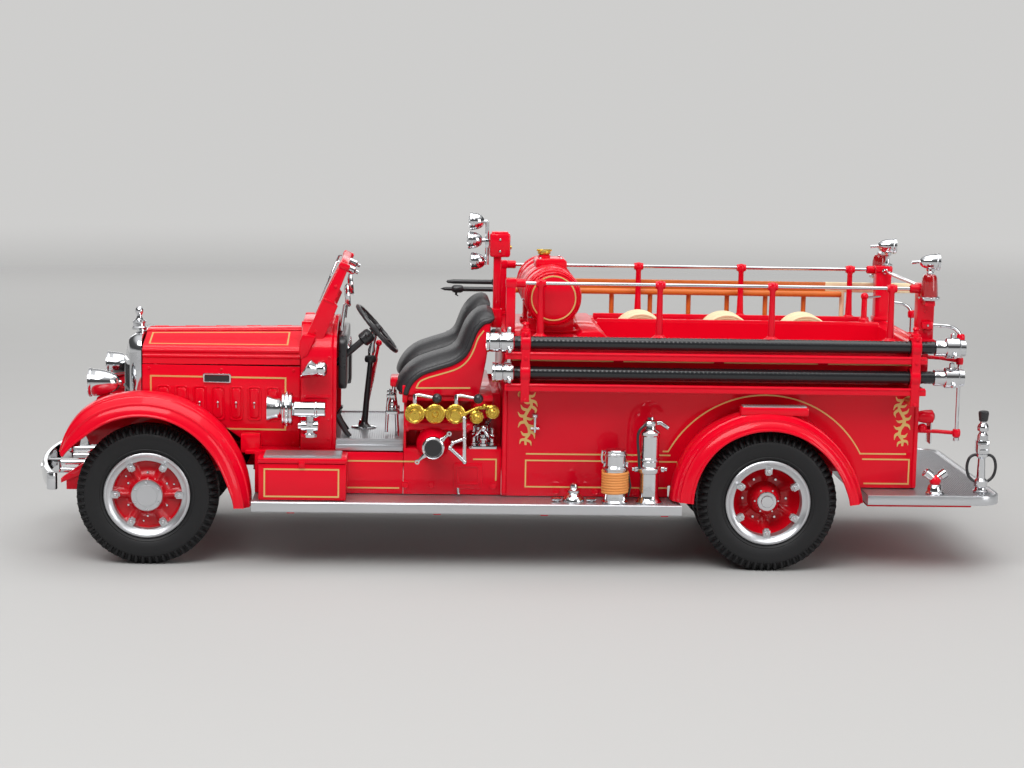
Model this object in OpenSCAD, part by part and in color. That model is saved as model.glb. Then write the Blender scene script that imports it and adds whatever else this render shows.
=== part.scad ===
// Model fire engine with an open cab, pump, hose bed, ladder and suction hoses.
// Millimetres. +X is the engine's front, +Y its left side, +Z up.
// The origin is on the ground, under the middle of the engine's box.

/* [Overall] */
// Length over the front bumper and the rear step
overall_length = 292; // [286:1:298]
// Width over the fenders and running boards
overall_width = 91; // [89:1:93]
// Distance between the axles
wheelbase = 185.4; // [182:0.2:189]
// Distance from the front axle to the front of the bumper
front_overhang = 35.8; // [34:0.2:38]

/* [Wheels] */
// Outside diameter of every tyre
tyre_diameter = 42; // [40:0.5:43]
// Width of one tyre
tyre_width = 10; // [9:0.5:10]
// Outside diameter of the metal rim
rim_diameter = 24.6; // [22:0.2:26]
// Distance from the middle of the engine to the middle of a front tyre
front_track_half = 36; // [35.5:0.1:36.5]
// Distance from the middle of the engine to the middle of an outer rear tyre
rear_track_half = 38; // [37.5:0.1:38.2]
// Distance from the middle of the engine to the steering pivot
kingpin_y = 26.5; // [26:0.1:27]
// Radius of the wheel spindles
spindle_radius = 2; // [1.6:0.1:2.2]
// Radial gap of every turning fit
running_gap = 0.06; // [0.03:0.01:0.09]

/* [Chassis] */
// Height of the underside of the frame rails
rail_bottom = 26.5; // [26.2:0.1:27]
// Height of the top of the frame rails
rail_top = 32; // [31:0.1:32.4]
// Distance from the middle of the engine to the outside of a frame rail
rail_y = 17.5; // [17:0.1:17.8]
// Height of the top of the running boards
board_top = 20.4; // [20:0.1:20.4]
// Thickness of a running board
board_thickness = 3.2; // [2.6:0.1:3.6]
// Height of the top of the rear step
step_top = 24; // [23:0.1:24]
// Radius of the two mounting holes under the frame
mount_hole_radius = 1.25; // [1:0.05:1.5]
// Depth of the two mounting holes under the frame
mount_hole_depth = 4.5; // [3:0.5:5]

/* [Bonnet and cab] */
// Front end of the hood
hood_front = 114; // [112:0.5:114]
// Rear end of the hood
hood_rear = 66; // [65.9:0.1:67]
// Height of the hood lids' hinge line at its front
hood_front_top = 66.1; // [65.6:0.1:66.4]
// Height of the hood lids' hinge line at its rear
hood_rear_top = 66.9; // [66.5:0.1:67.4]
// Half of the hood's width at its front
hood_front_half = 19; // [18.5:0.1:19.5]
// Half of the hood's width at its rear
hood_rear_half = 21; // [20.5:0.1:21]
// Height of the split between the hood's lids and its sides
hood_split = 57.5; // [57.2:0.1:57.8]
// Distance from the middle of the engine to each hood lid's hinge
hood_hinge_y = 5; // [4.5:0.1:6]
// Height of the cab floor
cab_floor_top = 36.4; // [36:0.1:37]
// Lean of the windshield away from upright, in degrees
windshield_lean = 23.6; // [20:0.2:26]
// Diameter of the steering wheel
steering_wheel_diameter = 19.2; // [17:0.2:20]

/* [Body] */
// Front end of the rear body
body_front = 4.5; // [4:0.1:5]
// Rear end of the rear body
body_rear = -122; // [-124:0.5:-121]
// Distance from the middle of the engine to the body side
body_y = 32; // [31.5:0.1:32]
// Height of the body's deck
deck_top = 68.7; // [68:0.1:69.5]
// Height of the hose bed's floor
bed_floor = 55; // [52:0.5:58]
// Diameter of the booster tank
tank_diameter = 17.5; // [17:0.1:18.5]
// Height of the side rails
side_rail_z = 85.2; // [84:0.1:86]
// Diameter of a suction hose
hose_diameter = 3.8; // [3.2:0.1:3.8]

/* [Hidden] */

$fn = 48;

red = "#c8101c";
chrome = "#d8dadc";
black = "#1c1c1e";
brass = "#c9a227";
rubber = "#2a2a2c";
cream = "#ead9ae";
wood = "#c8641c";

tyre_r = tyre_diameter / 2;
rim_r = rim_diameter / 2;
axle_z = tyre_r;
front_axle_x = overall_length / 2 - front_overhang;
rear_axle_x = front_axle_x - wheelbase;
bumper_front = overall_length / 2;
step_rear = -overall_length / 2;
edge_y = overall_width / 2;
rail_thickness = 3.5;
wall = 1.5;
sheet = 1.1;

// Sill, pump and cab positions that several sub-parts share
sill_y = 30.5;
sill_top = 33;
cab_front = 65.4;
cowl_rear = 54.8;
pump_front = 34.2;
pump_top = 50.6;
recess_y = 22;
board_front = 79;
board_rear = -48.9;
ledge_y = 40.4;
deck_y = 35;
bed_front = -27;
bed_rear = -118;
bed_left = 30;
bed_divider_y = -12;
bed_right = -28.5;
hose_y = 38;
upper_hose_z = 68;
lower_hose_z = 59;
rail_side_y = 32.8;
stanchion_x = [-6.2, -42, -75.9, -112];
tank_x = -10.3;
tank_z = 80.4;
ladder_y = -38;
ladder_z = [62, 78.8];
mount_x = [84, -96];
bracket_x = [-1.6, -118.6];
post_x = -122.5;
intake = [25.4, 36.1];
wheel_centre = [42.8, 17, 69.2];
wheel_tilt = 49;

// Points where the front fender bends, as [angle from the front axle, radius]
front_crown = [[27, 28.4], [34, 30], [45, 31.4], [58, 32], [72, 31.3], [90, 30.6], [120, 30.1],
    [150, 30], [172, 30.4], [186, 31]];
front_lip = [[27, 27.2], [45, 25.3], [65, 25], [85, 24.5], [105, 24.1], [125, 23.7], [145, 23.6],
    [165, 24], [178, 25.2], [186, 26.6]];
// The same for the rear fender, about the rear axle
rear_crown = [[0, 29.2], [18, 28.9], [34, 29], [48, 28.7], [62, 28.2], [90, 27.6], [118, 27.1],
    [135, 27], [151, 27.4], [167, 28.4], [180, 29.4]];
rear_lip = [[0, 22.9], [15, 22.8], [50, 22.8], [70, 22.4], [95, 22.2], [130, 22.2], [147, 22.5],
    [162, 23.1], [174, 23.9], [180, 24.6]];

// ---------- helpers ----------

// Box between two opposite corners
module block(low, high) {
    translate(low) cube(high - low);
}

// Round bar between two points
module bar(p, q, r) {
    v = q - p;
    length = norm(v);
    translate(p) rotate([0, acos(v.z / length), atan2(v.y, v.x)]) cylinder(h = length, r = r);
}

// Cone or cylinder along +X, +Y or +Z from a start point
module along_x(start, length, r1, r2) {
    translate(start) rotate([0, 90, 0]) cylinder(h = length, r1 = r1, r2 = r2);
}
module along_y(start, length, r1, r2) {
    translate(start) rotate([-90, 0, 0]) cylinder(h = length, r1 = r1, r2 = r2);
}
module along_z(start, length, r1, r2) {
    translate(start) cylinder(h = length, r1 = r1, r2 = r2);
}

// The same thing on the left and, mirrored, on the right
module both_sides() {
    children();
    mirror([0, 1, 0]) children();
}

// Place along the steering column, from the wheel's centre
function column_point(t) = wheel_centre + t * [-sin(wheel_tilt), 0, cos(wheel_tilt)];

// Outline drawn in X and Z, as thick as y0 to y1
module side_plate(y0, y1) {
    translate([0, y1, 0]) rotate([90, 0, 0]) linear_extrude(y1 - y0) children();
}

// Outline drawn in Y and Z, as thick as x0 to x1
module cross_plate(x0, x1) {
    translate([x0, 0, 0]) rotate([90, 0, 90]) linear_extrude(x1 - x0) children();
}

// Profile turned about the Y axis; x is the radius and y runs along the axle
module wheel_turn() {
    rotate([-90, 0, 0]) rotate_extrude($fn = 72) children();
}

// Closed solid through rings that all have the same number of points
module loft(rings) {
    count = len(rings[0]);
    last = len(rings) - 1;
    sides = [for (i = [0 : last - 1], j = [0 : count - 1]) let (k = (j + 1) % count) each [
        [i * count + j, (i + 1) * count + j, i * count + k],
        [i * count + k, (i + 1) * count + j, (i + 1) * count + k]]];
    start_cap = [[for (j = [0 : count - 1]) j]];
    end_cap = [[for (j = [count - 1 : -1 : 0]) last * count + j]];
    polyhedron([for (ring = rings) each ring], concat(sides, start_cap, end_cap), convexity = 8);
}

// Rounded rectangle, built from exact pieces
module round_rect(low, high, r) {
    translate([low.x + r, low.y]) square([high.x - low.x - 2 * r, high.y - low.y]);
    translate([low.x, low.y + r]) square([high.x - low.x, high.y - low.y - 2 * r]);
    for (x = [low.x + r, high.x - r], y = [low.y + r, high.y - r]) translate([x, y]) circle(r);
}

// ---------- chassis ----------

module chassis_frame() {
    cross_x = [133, 104, 36.4, 2, -34, -62, -118];
    cross_half = rail_y - rail_thickness;
    hanger_x = [58, 42, -20];
    color(red) difference() {
        union() {
            both_sides() difference() {
                block([-120.3, rail_y - rail_thickness, rail_bottom], [139, rail_y, rail_top]);
                block([-118, rail_y - rail_thickness - 1, rail_bottom + 1.2],
                    [136, rail_y - 1.4, rail_top - 1.2]);
            }
            for (x = cross_x) block([x - 1.5, -cross_half - 1, rail_bottom + 1.2],
                [x + 1.5, cross_half + 1, rail_top - 1.2]);
            for (x = mount_x) block([x - 4, -cross_half - 1, rail_bottom],
                [x + 4, cross_half + 1, rail_top - 0.2]);
            // hangers for the running boards and the rear step
            for (x = hanger_x) both_sides() {
                block([x - 1.5, rail_y - 0.5, rail_bottom + 0.4], [x + 1.5, 28.9, rail_bottom + 2.4]);
                block([x - 1.5, 26.9, board_top], [x + 1.5, 28.9, rail_bottom + 2.4]);
            }
            both_sides() block([-119.9, rail_y - rail_thickness, step_top], [-107, rail_y, rail_bottom + 0.5]);
            // spring hangers under the front horns
            both_sides() block([132.4, rail_y - 3.3, 18.3], [137.4, rail_y - 0.3, rail_bottom + 0.2]);
        }
        for (x = mount_x) translate([x, 0, rail_bottom - 1])
            cylinder(h = mount_hole_depth + 1, r = mount_hole_radius);
    }
}

module front_axle() {
    pin_r = 1.2;
    color(black) difference() {
        union() {
            block([front_axle_x - 1.8, -kingpin_y + 1, axle_z - 2], [front_axle_x + 1.8, kingpin_y - 1, axle_z + 1.6]);
            both_sides() translate([front_axle_x, kingpin_y, axle_z - 2.2]) cylinder(h = 4.4, r = 2.3);
            both_sides() translate([front_axle_x, kingpin_y, axle_z - 4.6]) cylinder(h = 9.2, r = pin_r);
        }
        both_sides() block([front_axle_x + 1, -kingpin_y + 4, axle_z - 1.2],
            [front_axle_x + 3, kingpin_y - 4, axle_z + 0.8]);
        both_sides() block([front_axle_x - 3, -kingpin_y + 4, axle_z - 1.2],
            [front_axle_x - 1, kingpin_y - 4, axle_z + 0.8]);
    }
}

// Leaf pack with its middle on an axle and its ends under the rail
module leaf_pack(x, middle_z, half_length) {
    rise = rail_bottom - 1.6 - middle_z;
    bend = (half_length * half_length + rise * rise) / (2 * rise);
    side_plate(rail_y - 3, rail_y - 0.4) intersection() {
        translate([x - half_length, middle_z - 1]) square([2 * half_length, 8]);
        difference() {
            translate([x, middle_z + bend]) circle(bend, $fn = 240);
            translate([x, middle_z + bend]) circle(bend - 1.5, $fn = 240);
        }
    }
}

module leaf_springs() {
    color(black) both_sides() {
        leaf_pack(front_axle_x, axle_z + 1.7, 21);
        leaf_pack(rear_axle_x, axle_z + 2.5, 24);
    }
}

module rear_axle() {
    color(black) union() {
        along_y([rear_axle_x, -20.4, axle_z], 40.8, 2.4, 2.4);
        translate([rear_axle_x, 0, axle_z]) sphere(5.6, $fn = 40);
        both_sides() along_y([rear_axle_x, 20.3, axle_z], 19.9, spindle_radius, spindle_radius);
    }
}

module drivetrain() {
    color(black) union() {
        block([63.6, -6, 23.5], [71.8, 6, 34.5]);
        block([66.4, -16, 28], [69, 16, 30.4]);
        along_x([38.7, 0, 27.6], 24.9, 4.2, 5);
        bar([38.8, 0, 24.8], [rear_axle_x + 5.7, 0, axle_z + 0.6], 1.2);
    }
}

module exhaust() {
    color("#8b8d90") union() {
        bar([86, -19.9, 23.4], [18, -21.2, 22.6], 1.2);
        along_x([-16, -21.6, 22.4], 36, 3.3, 3.3);
        along_x([-44, -21.6, 22], 29, 1.2, 1.2);
    }
}

module engine() {
    color("#5a5c60") block([72, -9, 33], [108, 9, 58]);
}

// ---------- front ----------

module radiator_shell() {
    color(chrome) {
        difference() {
            cross_plate(hood_front + 0.3, 119) round_rect([-18.6, 36], [18.6, 66.2], 5);
            cross_plate(hood_front - 1, 120) round_rect([-15.6, 39], [15.6, 63.4], 3.4);
        }
        // plain filler cap with a small domed finial
        translate([117, 0, 66.1]) cylinder(h = 2.4, r = 2);
        translate([117, 0, 68.4]) cylinder(h = 2.4, r1 = 1.5, r2 = 0.8);
        translate([117, 0, 71.8]) sphere(1.4, $fn = 32);
    }
}

module radiator_grille() {
    color(black) union() {
        translate([0, 0, 39.2]) linear_extrude(24)
            polygon([[119.1, -15.2], [122.4, 0], [119.1, 15.2], [119.1, 12], [121, 0], [119.1, -12]]);
        cross_plate(hood_front + 1, hood_front + 3) round_rect([-15.5, 39.1], [15.5, 63.3], 3.4);
    }
}

module front_bumper() {
    bend_r = 120;
    arm_r = 1.15;
    color(chrome) union() {
        translate([0, 0, 22.4]) linear_extrude(5.3) intersection() {
            difference() {
                translate([bumper_front - bend_r, 0]) circle(bend_r, $fn = 200);
                translate([bumper_front - bend_r, 0]) circle(bend_r - 1.8, $fn = 200);
            }
            translate([100, -40.5]) square([60, 81]);
        }
        // rolled ends
        both_sides() along_z([138.2, 39.4, 22.4], 5.3, 1.6, 1.6);
        both_sides() along_x([126, rail_y - 3.3 - arm_r, 24.8], 18.2, arm_r, arm_r);
    }
}

// Turned lamp pointing forward, with its lens at the origin
module lamp_body(r, depth) {
    along_x([-0.8, 0, 0], 0.8, r, r * 0.94);
    translate([-0.8, 0, 0]) rotate([0, -90, 0]) rotate_extrude()
        polygon(concat([[0, 0]], [for (a = [0 : 15 : 90]) [r * cos(a) * 0.96, depth * sin(a)]]));
}

module front_lamps() {
    color(chrome) {
        both_sides() translate([129.8, 20.9, 52]) lamp_body(4.3, 8.8);
        both_sides() translate([62.8, 28.2, 57.9]) lamp_body(2.65, 5);
    }
    color(red) both_sides() {
        block([123.5, 19.4, 46.6], [126, 21.4, 48.9]);
        block([58, 25, 54.6], [60.4, 27.2, 56.2]);
    }
}

module siren() {
    centre = [0, 32, 46.2];
    color(chrome) union() {
        along_x(centre + [57.7, 0, 0], 10.2, 2.5, 2.5);
        along_x(centre + [67.8, 0, 0], 3.5, 4.7, 4.7);
        along_x(centre + [71.2, 0, 0], 4, 2.6, 3.75);
        block([60.9, centre.y - 1, 38.8], [64.9, centre.y + 1, 44.4]);
        block([60.9, 24.95, 38], [64.9, centre.y + 1, 39.2]);
    }
}

module hood_sides() {
    front_y = hood_front_half;
    rear_y = hood_rear_half;
    low = rail_top + 0.2;
    strip_half = hood_hinge_y - 0.45;
    run = hood_front - hood_rear;
    drop = hood_rear_top - hood_front_top;
    color(red) {
        both_sides() translate([0, 0, low]) linear_extrude(hood_split - low)
            polygon([[hood_rear, rear_y - sheet], [hood_front, front_y - sheet], [hood_front, front_y],
                [hood_rear, rear_y]]);
        // fixed strip between the two lids
        translate([hood_rear, 0, hood_rear_top]) rotate([0, atan(drop / run), 0])
            cross_plate(-0.3, run) polygon([[-strip_half, -1.2], [strip_half, -1.2], [strip_half, 0], [0, 1.1],
                [-strip_half, 0]]);
    }
    color(chrome) both_sides() bar([hood_rear - 0.5, hood_hinge_y, hood_rear_top + 0.1],
        [hood_front + 0.2, hood_hinge_y, hood_front_top + 0.1], 0.38);
}

// One lid: a sloping panel with two beads along its edge, drawn along that edge and trimmed at the hinge
module hood_lid() {
    run = hood_front - hood_rear;
    gap = 0.1;
    rear_edge = [hood_rear_half - 1.2, hood_split + 6.1];
    slope = (hood_rear_top - rear_edge.y) / (rear_edge.x - hood_hinge_y);
    front_edge_y = hood_front_half - 1.2;
    front_edge = [front_edge_y, hood_front_top - slope * (front_edge_y - hood_hinge_y)];
    reach = rear_edge.x;
    color(red) intersection() {
        translate([hood_rear, rear_edge.x, rear_edge.y])
            rotate([0, atan((rear_edge.y - front_edge.y) / run), atan((front_edge.x - rear_edge.x) / run)])
            cross_plate(-4, run + 4) polygon([[-reach, reach * slope], [0, 0], [0.9, -0.5], [1.1, -1.5],
                [0.8, -2.3], [1.2, -2.9], [1.1, -3.8], [0.8, -4.3], [0.8, -5.6], [-0.3, -5.6], [-0.3, -2.2],
                [-1.2, -1], [-reach, reach * slope - 1.2]]);
        block([hood_rear + gap, hood_hinge_y + 0.46, hood_split],
            [hood_front - gap, hood_rear_half + 2, hood_rear_top + 2]);
    }
}

module hood_left() {
    hood_lid();
}
module hood_right() {
    mirror([0, 1, 0]) hood_lid();
}

module cowl_outline(grow) {
    half = 24.9 + grow;
    top = 71 + grow;
    polygon([[-half, sill_top], [-half, 62], [-22.4 - grow, 67.2 + grow / 2], [-12, 70 + grow], [0, top],
        [12, 70 + grow], [22.4 + grow, 67.2 + grow / 2], [half, 62], [half, sill_top]]);
}

module cowl() {
    color(red) difference() {
        cross_plate(cowl_rear, cab_front) cowl_outline(0);
        // hollow behind the firewall
        cross_plate(cowl_rear - 1, cab_front - wall) intersection() {
            cowl_outline(-wall);
            translate([-40, cab_floor_top + 0.1]) square([80, 60]);
        }
        block([cowl_rear - 1, -23.4, sill_top - 1], [cab_front + 1, 23.4, cab_floor_top + 0.1]);
    }
}

// Windshield sheet outline in its own leaning plane: x across, y up the slope
module windshield_frame() {
    foot = [64.6, 0, 66.8];
    slope_length = 27.6;
    color(red) difference() {
        translate(foot) rotate([0, -windshield_lean, 0]) difference() {
            union() {
                both_sides() block([-4.6, 20.4, 0.5], [-0.6, 22.8, 14]);
                both_sides() block([-3.4, 20.4, 13.9], [-0.6, 22.8, slope_length]);
                block([-3, -22.8, slope_length - 2.6], [-0.6, 22.8, slope_length + 0.6]);
                block([-3, -20.5, 4.6], [-0.6, 20.5, 6.4]);
                block([-3, -0.9, 6], [-0.6, 0.9, slope_length - 2]);
            }
            block([-2.2, -20.6, 6.1], [-1.4, 20.6, slope_length - 2.3]);
        }
        cross_plate(40, 80) cowl_outline(0.05);
    }
}

module windshield_glass() {
    foot = [64.6, 0, 66.8];
    color("#cfe4ee", 0.5) translate(foot) rotate([0, -windshield_lean, 0])
        both_sides() block([-2.15, 0.95, 6.5], [-1.45, 20.35, 24.9]);
}

// ---------- fenders, boards and boxes ----------

// Section of a fender in the radial plane at one angle: y across, radius from the axle
function fender_ring(centre, angle, crown, lip, inner_y, drop, skin) = let (
    c = lookup(angle, crown),
    l = lookup(angle, lip),
    roll = edge_y - 36,
    outer = concat([[inner_y, c - drop], [inner_y + (36 - inner_y) * 0.5, c - drop * 0.25]],
        [for (a = [0 : 15 : 90]) [36 + roll * sin(a), c - (c - l) * (1 - cos(a))]]),
    inner = concat([[edge_y - skin, l]],
        [for (a = [75 : -25 : 0]) [36 + (roll - skin) * sin(a), c - skin - (c - skin - l) * (1 - cos(a))]],
        [[inner_y + (36 - inner_y) * 0.5, c - drop * 0.25 - skin], [inner_y, c - drop - skin]]))
    [for (p = concat(outer, inner)) [centre + p[1] * cos(angle), p[0], axle_z + p[1] * sin(angle)]];

module front_fenders() {
    color(red) both_sides() loft([for (a = [27 : 9.9375 : 186])
        fender_ring(front_axle_x, a, front_crown, front_lip, 21.6, 2.6, 1.2)]);
}

module rear_fenders() {
    color(red) both_sides() {
        loft([for (a = [0 : 10 : 180])
            fender_ring(rear_axle_x, a, rear_crown, rear_lip, body_y + 0.05, 0.5, 1.2)]);
        // step box that stands on the crown
        difference() {
            block([-86.8, 36.4, 44], [-66.3, 41.2, 49.9]);
            translate([rear_axle_x, 0, axle_z]) wheel_turn() polygon([[0, 30], [28.45, 30], [28.45, 36.6],
                [28.3, 38.4], [27.9, 40.4], [27.5, 41.8], [26.5, 43], [0, 43]]);
        }
    }
}

module running_boards() {
    color(chrome) both_sides() difference() {
        block([board_rear, 28.6, board_top - board_thickness], [board_front, edge_y, board_top]);
        block([board_rear - 1, 30, board_top - board_thickness - 1], [board_front + 1, edge_y - 1.4, board_top - 1.6]);
    }
}

module toolboxes() {
    color(red) both_sides() {
        block([51.2, sill_y + 0.05, board_top + 0.05], [77.1, 43, 33.4]);
        block([51.8, sill_y + 0.2, 33.4], [76.5, 42.6, 34.2]);
    }
}

module rear_step() {
    corner = 7;
    color(chrome) translate([0, 0, step_top - 3]) linear_extrude(3) difference() {
        union() {
            translate([step_rear + corner, -44]) square([-105 - step_rear - corner, 88]);
            translate([step_rear, -44 + corner]) square([corner + 1, 88 - 2 * corner]);
            for (y = [-44 + corner, 44 - corner]) translate([step_rear + corner, y]) circle(corner);
        }
    }
    color(red) block([-138, -38, step_top - 4.6], [-106, 38, step_top - 3]);
}

// ---------- cab ----------

module cab_floor() {
    floor_bottom = cab_floor_top - 1.8;
    color(chrome) {
        block([pump_front + 0.1, -sill_y + wall + 0.1, floor_bottom],
            [cowl_rear - 0.1, sill_y - wall - 0.1, cab_floor_top]);
        block([cowl_rear - 0.2, -23.3, floor_bottom], [cab_front - wall - 0.1, 23.3, cab_floor_top]);
    }
    color(red) both_sides() {
        block([pump_front + 0.1, sill_y - wall, board_top], [board_front, sill_y, sill_top]);
        // shelf between the sill and the hood
        block([cab_front + 0.1, hood_rear_half + 0.1, sill_top - 1.2], [82, sill_y - wall, sill_top]);
        block([cowl_rear, 25, sill_top - 1.2], [cab_front + 0.2, sill_y - wall, sill_top]);
    }
}

module steering_column() {
    color(black) difference() {
        union() {
            bar(column_point(-28), column_point(-5.4), 1);
            bar(column_point(-27), column_point(-23), 1.8);
            // control box under the wheel
            bar(column_point(-5.5), column_point(-2.2), 2);
        }
        block([cab_front - wall, 5, 30], [cab_front + 20, 30, 60]);
    }
}

module floor_controls() {
    color(black) {
        translate([46.8, 4, cab_floor_top + 0.05]) cylinder(h = 1.4, r = 3.6);
        bar([46.6, 5, cab_floor_top + 1], [44.8, 5, 58.6], 0.9);
        bar([47.6, 2, cab_floor_top + 1], [42.3, 2, 63.2], 0.6);
        translate([42.3, 2, 63.2]) sphere(1.3, $fn = 24);
        translate([44.8, 5, 58.9]) sphere(1.5, $fn = 24);
        for (y = [12, 21]) {
            bar([54.8, y, 42.6], [51.6, y, cab_floor_top + 0.6], 0.7);
            bar([55.6, y, 41.4], [54, y, 43.8], 1.3);
        }
    }
}

module steering_wheel() {
    ring_r = steering_wheel_diameter / 2 - 0.7;
    color(black) translate(wheel_centre) rotate([0, -wheel_tilt, 0]) {
        rotate_extrude($fn = 64) translate([ring_r, 0]) circle(0.7, $fn = 20);
        translate([0, 0, -1.9]) cylinder(h = 2.2, r = 1.7);
        for (a = [45 : 90 : 315]) rotate(a) translate([1.2, -0.45, -0.9]) cube([ring_r - 1.3, 0.9, 0.8]);
    }
}

// Side outline of a bucket seat's panel, in X and Z
module seat_side_outline() {
    polygon([[33, 51.2], [11.8, 51.2], [10, 61], [8.4, 73], [10.5, 72.6], [12.4, 70.4], [13.6, 67.6],
        [15, 64.2], [17, 61.8], [20, 60], [24.6, 58.5], [28.6, 57], [31, 55.2], [32.4, 53]]);
}

module seat_frames() {
    color(red) both_sides() difference() {
        side_plate(7.5, 31.5) seat_side_outline();
        // the bucket between the side panels and the back panel
        side_plate(9, 30) polygon([[34, 52.6], [13.6, 52.6], [11.7, 61], [10.2, 75], [34, 75]]);
    }
}

module seat_cushions() {
    color(black) both_sides() {
        // pad and back between the side panels
        side_plate(9.2, 29.8) polygon([[33.6, 52.8], [13.8, 52.8], [12.1, 61], [10.9, 72.4], [13.4, 71.6], [15.4, 67.2],
            [17.4, 61.6], [20, 58.6], [26, 57.6], [32.6, 56.6], [34, 55.2]]);
        // rolled edge over the arms and the top of the back
        for (y = [7.2, 28.6]) side_plate(y, y + 3.2) seat_roll_outline();
        side_plate(10.3, 28.7) seat_top_outline();
    }
}

// Strip that lies on the seat side's upper edge
module seat_roll_outline() {
    polygon([[33.1, 51.3], [32.5, 53.1], [31.1, 55.3], [28.7, 57.1], [24.7, 58.6], [20.1, 60.1], [17.1, 61.9],
        [15.1, 64.3], [13.7, 67.7], [12.5, 70.5], [10.6, 72.7], [8.5, 73.1], [8.3, 75], [10, 76.4], [12.6, 76.2],
        [14.8, 74.6], [16.2, 71.6], [17.4, 68.2], [19.2, 65.2], [21.6, 63.2], [25.8, 61.6], [30, 60.2], [33, 58.4],
        [35.2, 55.4], [36, 51.8]]);
}

module seat_top_outline() {
    polygon([[10.9, 72.6], [8.5, 73.1], [8.3, 75], [10, 76.4], [12.6, 76.2], [14.8, 74.6], [16, 72], [13.4, 71.7]]);
}

// ---------- pump ----------

module pump_housing() {
    color(red) {
        difference() {
            union() {
                block([body_front + 0.1, -recess_y, rail_top + 0.05], [pump_front, recess_y, pump_top - 1.6]);
                block([body_front + 0.1, -sill_y, sill_top], [pump_front, sill_y, sill_top + 1.4]);
                block([body_front + 3, -sill_y, pump_top - 1.6], [pump_front - 0.6, sill_y, pump_top]);
                both_sides() block([body_front + 0.1, sill_y - wall, board_top], [pump_front, sill_y, sill_top + 0.1]);
                // pipe boss across the top of the intake, and the intake itself
                both_sides() block([13.4, recess_y - 1, 40.4], [pump_front - 0.4, 31.6, 42.6]);
                both_sides() along_y([intake.x, recess_y - 1, intake.y], 17, 4, 3.6);
            }
            block([body_front - 1, -recess_y + wall, board_top - 1], [pump_front - wall, recess_y - wall, pump_top - 3.2]);
        }
    }
}

module pump_valves() {
    color(brass) both_sides() {
        for (p = [[31, 45.7], [24.9, 45.7], [18.8, 45.7]]) {
            along_y([p.x, recess_y, p.y], 12.6, 1.6, 1.6);
            along_y([p.x, recess_y + 12.4, p.y], 3.4, 2.95, 2.95);
        }
        for (p = [[12.4, 44.5], [7.6, 46.1]]) {
            along_y([p.x, recess_y, p.y], 9.4, 1, 1);
            along_y([p.x, recess_y + 9, p.y], 3, 2, 2);
        }
    }
}

module pump_controls() {
    color(chrome) both_sides() {
        // two hand levers over the valves
        for (x = [31, 18.6]) union() {
            block([x - 1.6, 32.4, 48.8], [x + 0.4, 33.6, 51.2]);
            block([x - 6.4, 32.7, 50.1], [x - 1.5, 33.3, 50.9]);
            along_x([x - 8.4, 33, 50.5], 2.2, 1.1, 1.1);
        }
        // folding crank below them
        side_plate(36.4, 37.4) difference() {
            polygon([[16.4, 42.2], [15, 42.2], [14.8, 30.8], [17.2, 30.8], [20.8, 34.8], [20.4, 36], [16.4, 38.2]]);
            polygon([[16.3, 37.1], [16.1, 32.2], [19.2, 35.4]]);
        }
        // bracket that carries the crank
        block([14.8, 31.6, 41.2], [16.4, 37.4, 42.2]);
        // gauge and strainer cluster
        block([6.2, 23, sill_top + 1.5], [13.3, 32.6, 42.2]);
    }
}

module suction_cap() {
    color(chrome) both_sides() {
        along_y([intake.x, 38.1, intake.y], 2.4, 3.3, 3.3);
        side_plate(38.6, 39.6) for (s = [-1, 1]) translate(intake) rotate(-42.5) translate([s * 5 - 2.4, -0.5]) square([4.8, 1]);
    }
}

// ---------- rear body ----------

module arch_cut() {
    along_y([rear_axle_x, -60, axle_z], 120, 25.6, 25.6);
    block([rear_axle_x - 25.6, -60, 0], [rear_axle_x + 25.6, 60, axle_z]);
}

module rear_body() {
    inner_y = body_y - wall;
    color(red) difference() {
        union() {
            // side skirts, front and rear walls
            both_sides() block([body_rear, inner_y, step_top], [body_front, body_y, deck_top]);
            both_sides() block([-46, inner_y, board_top], [body_front, body_y, step_top + 1]);
            block([body_front - wall, -body_y, sill_top - 7], [body_front, body_y, deck_top]);
            block([body_rear, -body_y, step_top], [body_rear + wall, body_y, deck_top]);
            // hose bed floor, deck and bed walls
            block([body_rear, -body_y, bed_floor - wall], [body_front, body_y, bed_floor]);
            block([body_rear, -deck_y, deck_top - 3.6], [body_front, deck_y, deck_top]);
            block([bed_front, -body_y, bed_floor], [bed_front + wall, body_y, deck_top]);
            block([bed_rear - wall, -body_y, bed_floor], [bed_rear, body_y, deck_top]);
            block([bed_rear, bed_divider_y - wall, bed_floor], [bed_front, bed_divider_y, deck_top + 1.3]);
            block([bed_rear, bed_left, bed_floor], [bed_front, bed_left + wall, deck_top]);
            block([bed_rear, bed_right - wall, bed_floor], [bed_front, bed_right, deck_top + 1.3]);
            // hose ledges on the left side
            block([body_rear, body_y - 0.1, 53.6], [body_front, ledge_y, 55.6]);
            block([body_rear, body_y - 0.1, 63.1], [body_front, ledge_y, 65.1]);
        }
        // open bays
        block([bed_rear, bed_divider_y, deck_top - 5], [bed_front, bed_left, deck_top + 1]);
        block([bed_rear, bed_right, deck_top - 5], [bed_front, bed_divider_y - wall, deck_top + 1]);
        // clearance over the frame rails at the front wall
        block([body_front - wall - 1, -rail_y - 0.05, 20], [body_front + 1, rail_y + 0.05, rail_top + 0.05]);
        arch_cut();
    }
}

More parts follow.
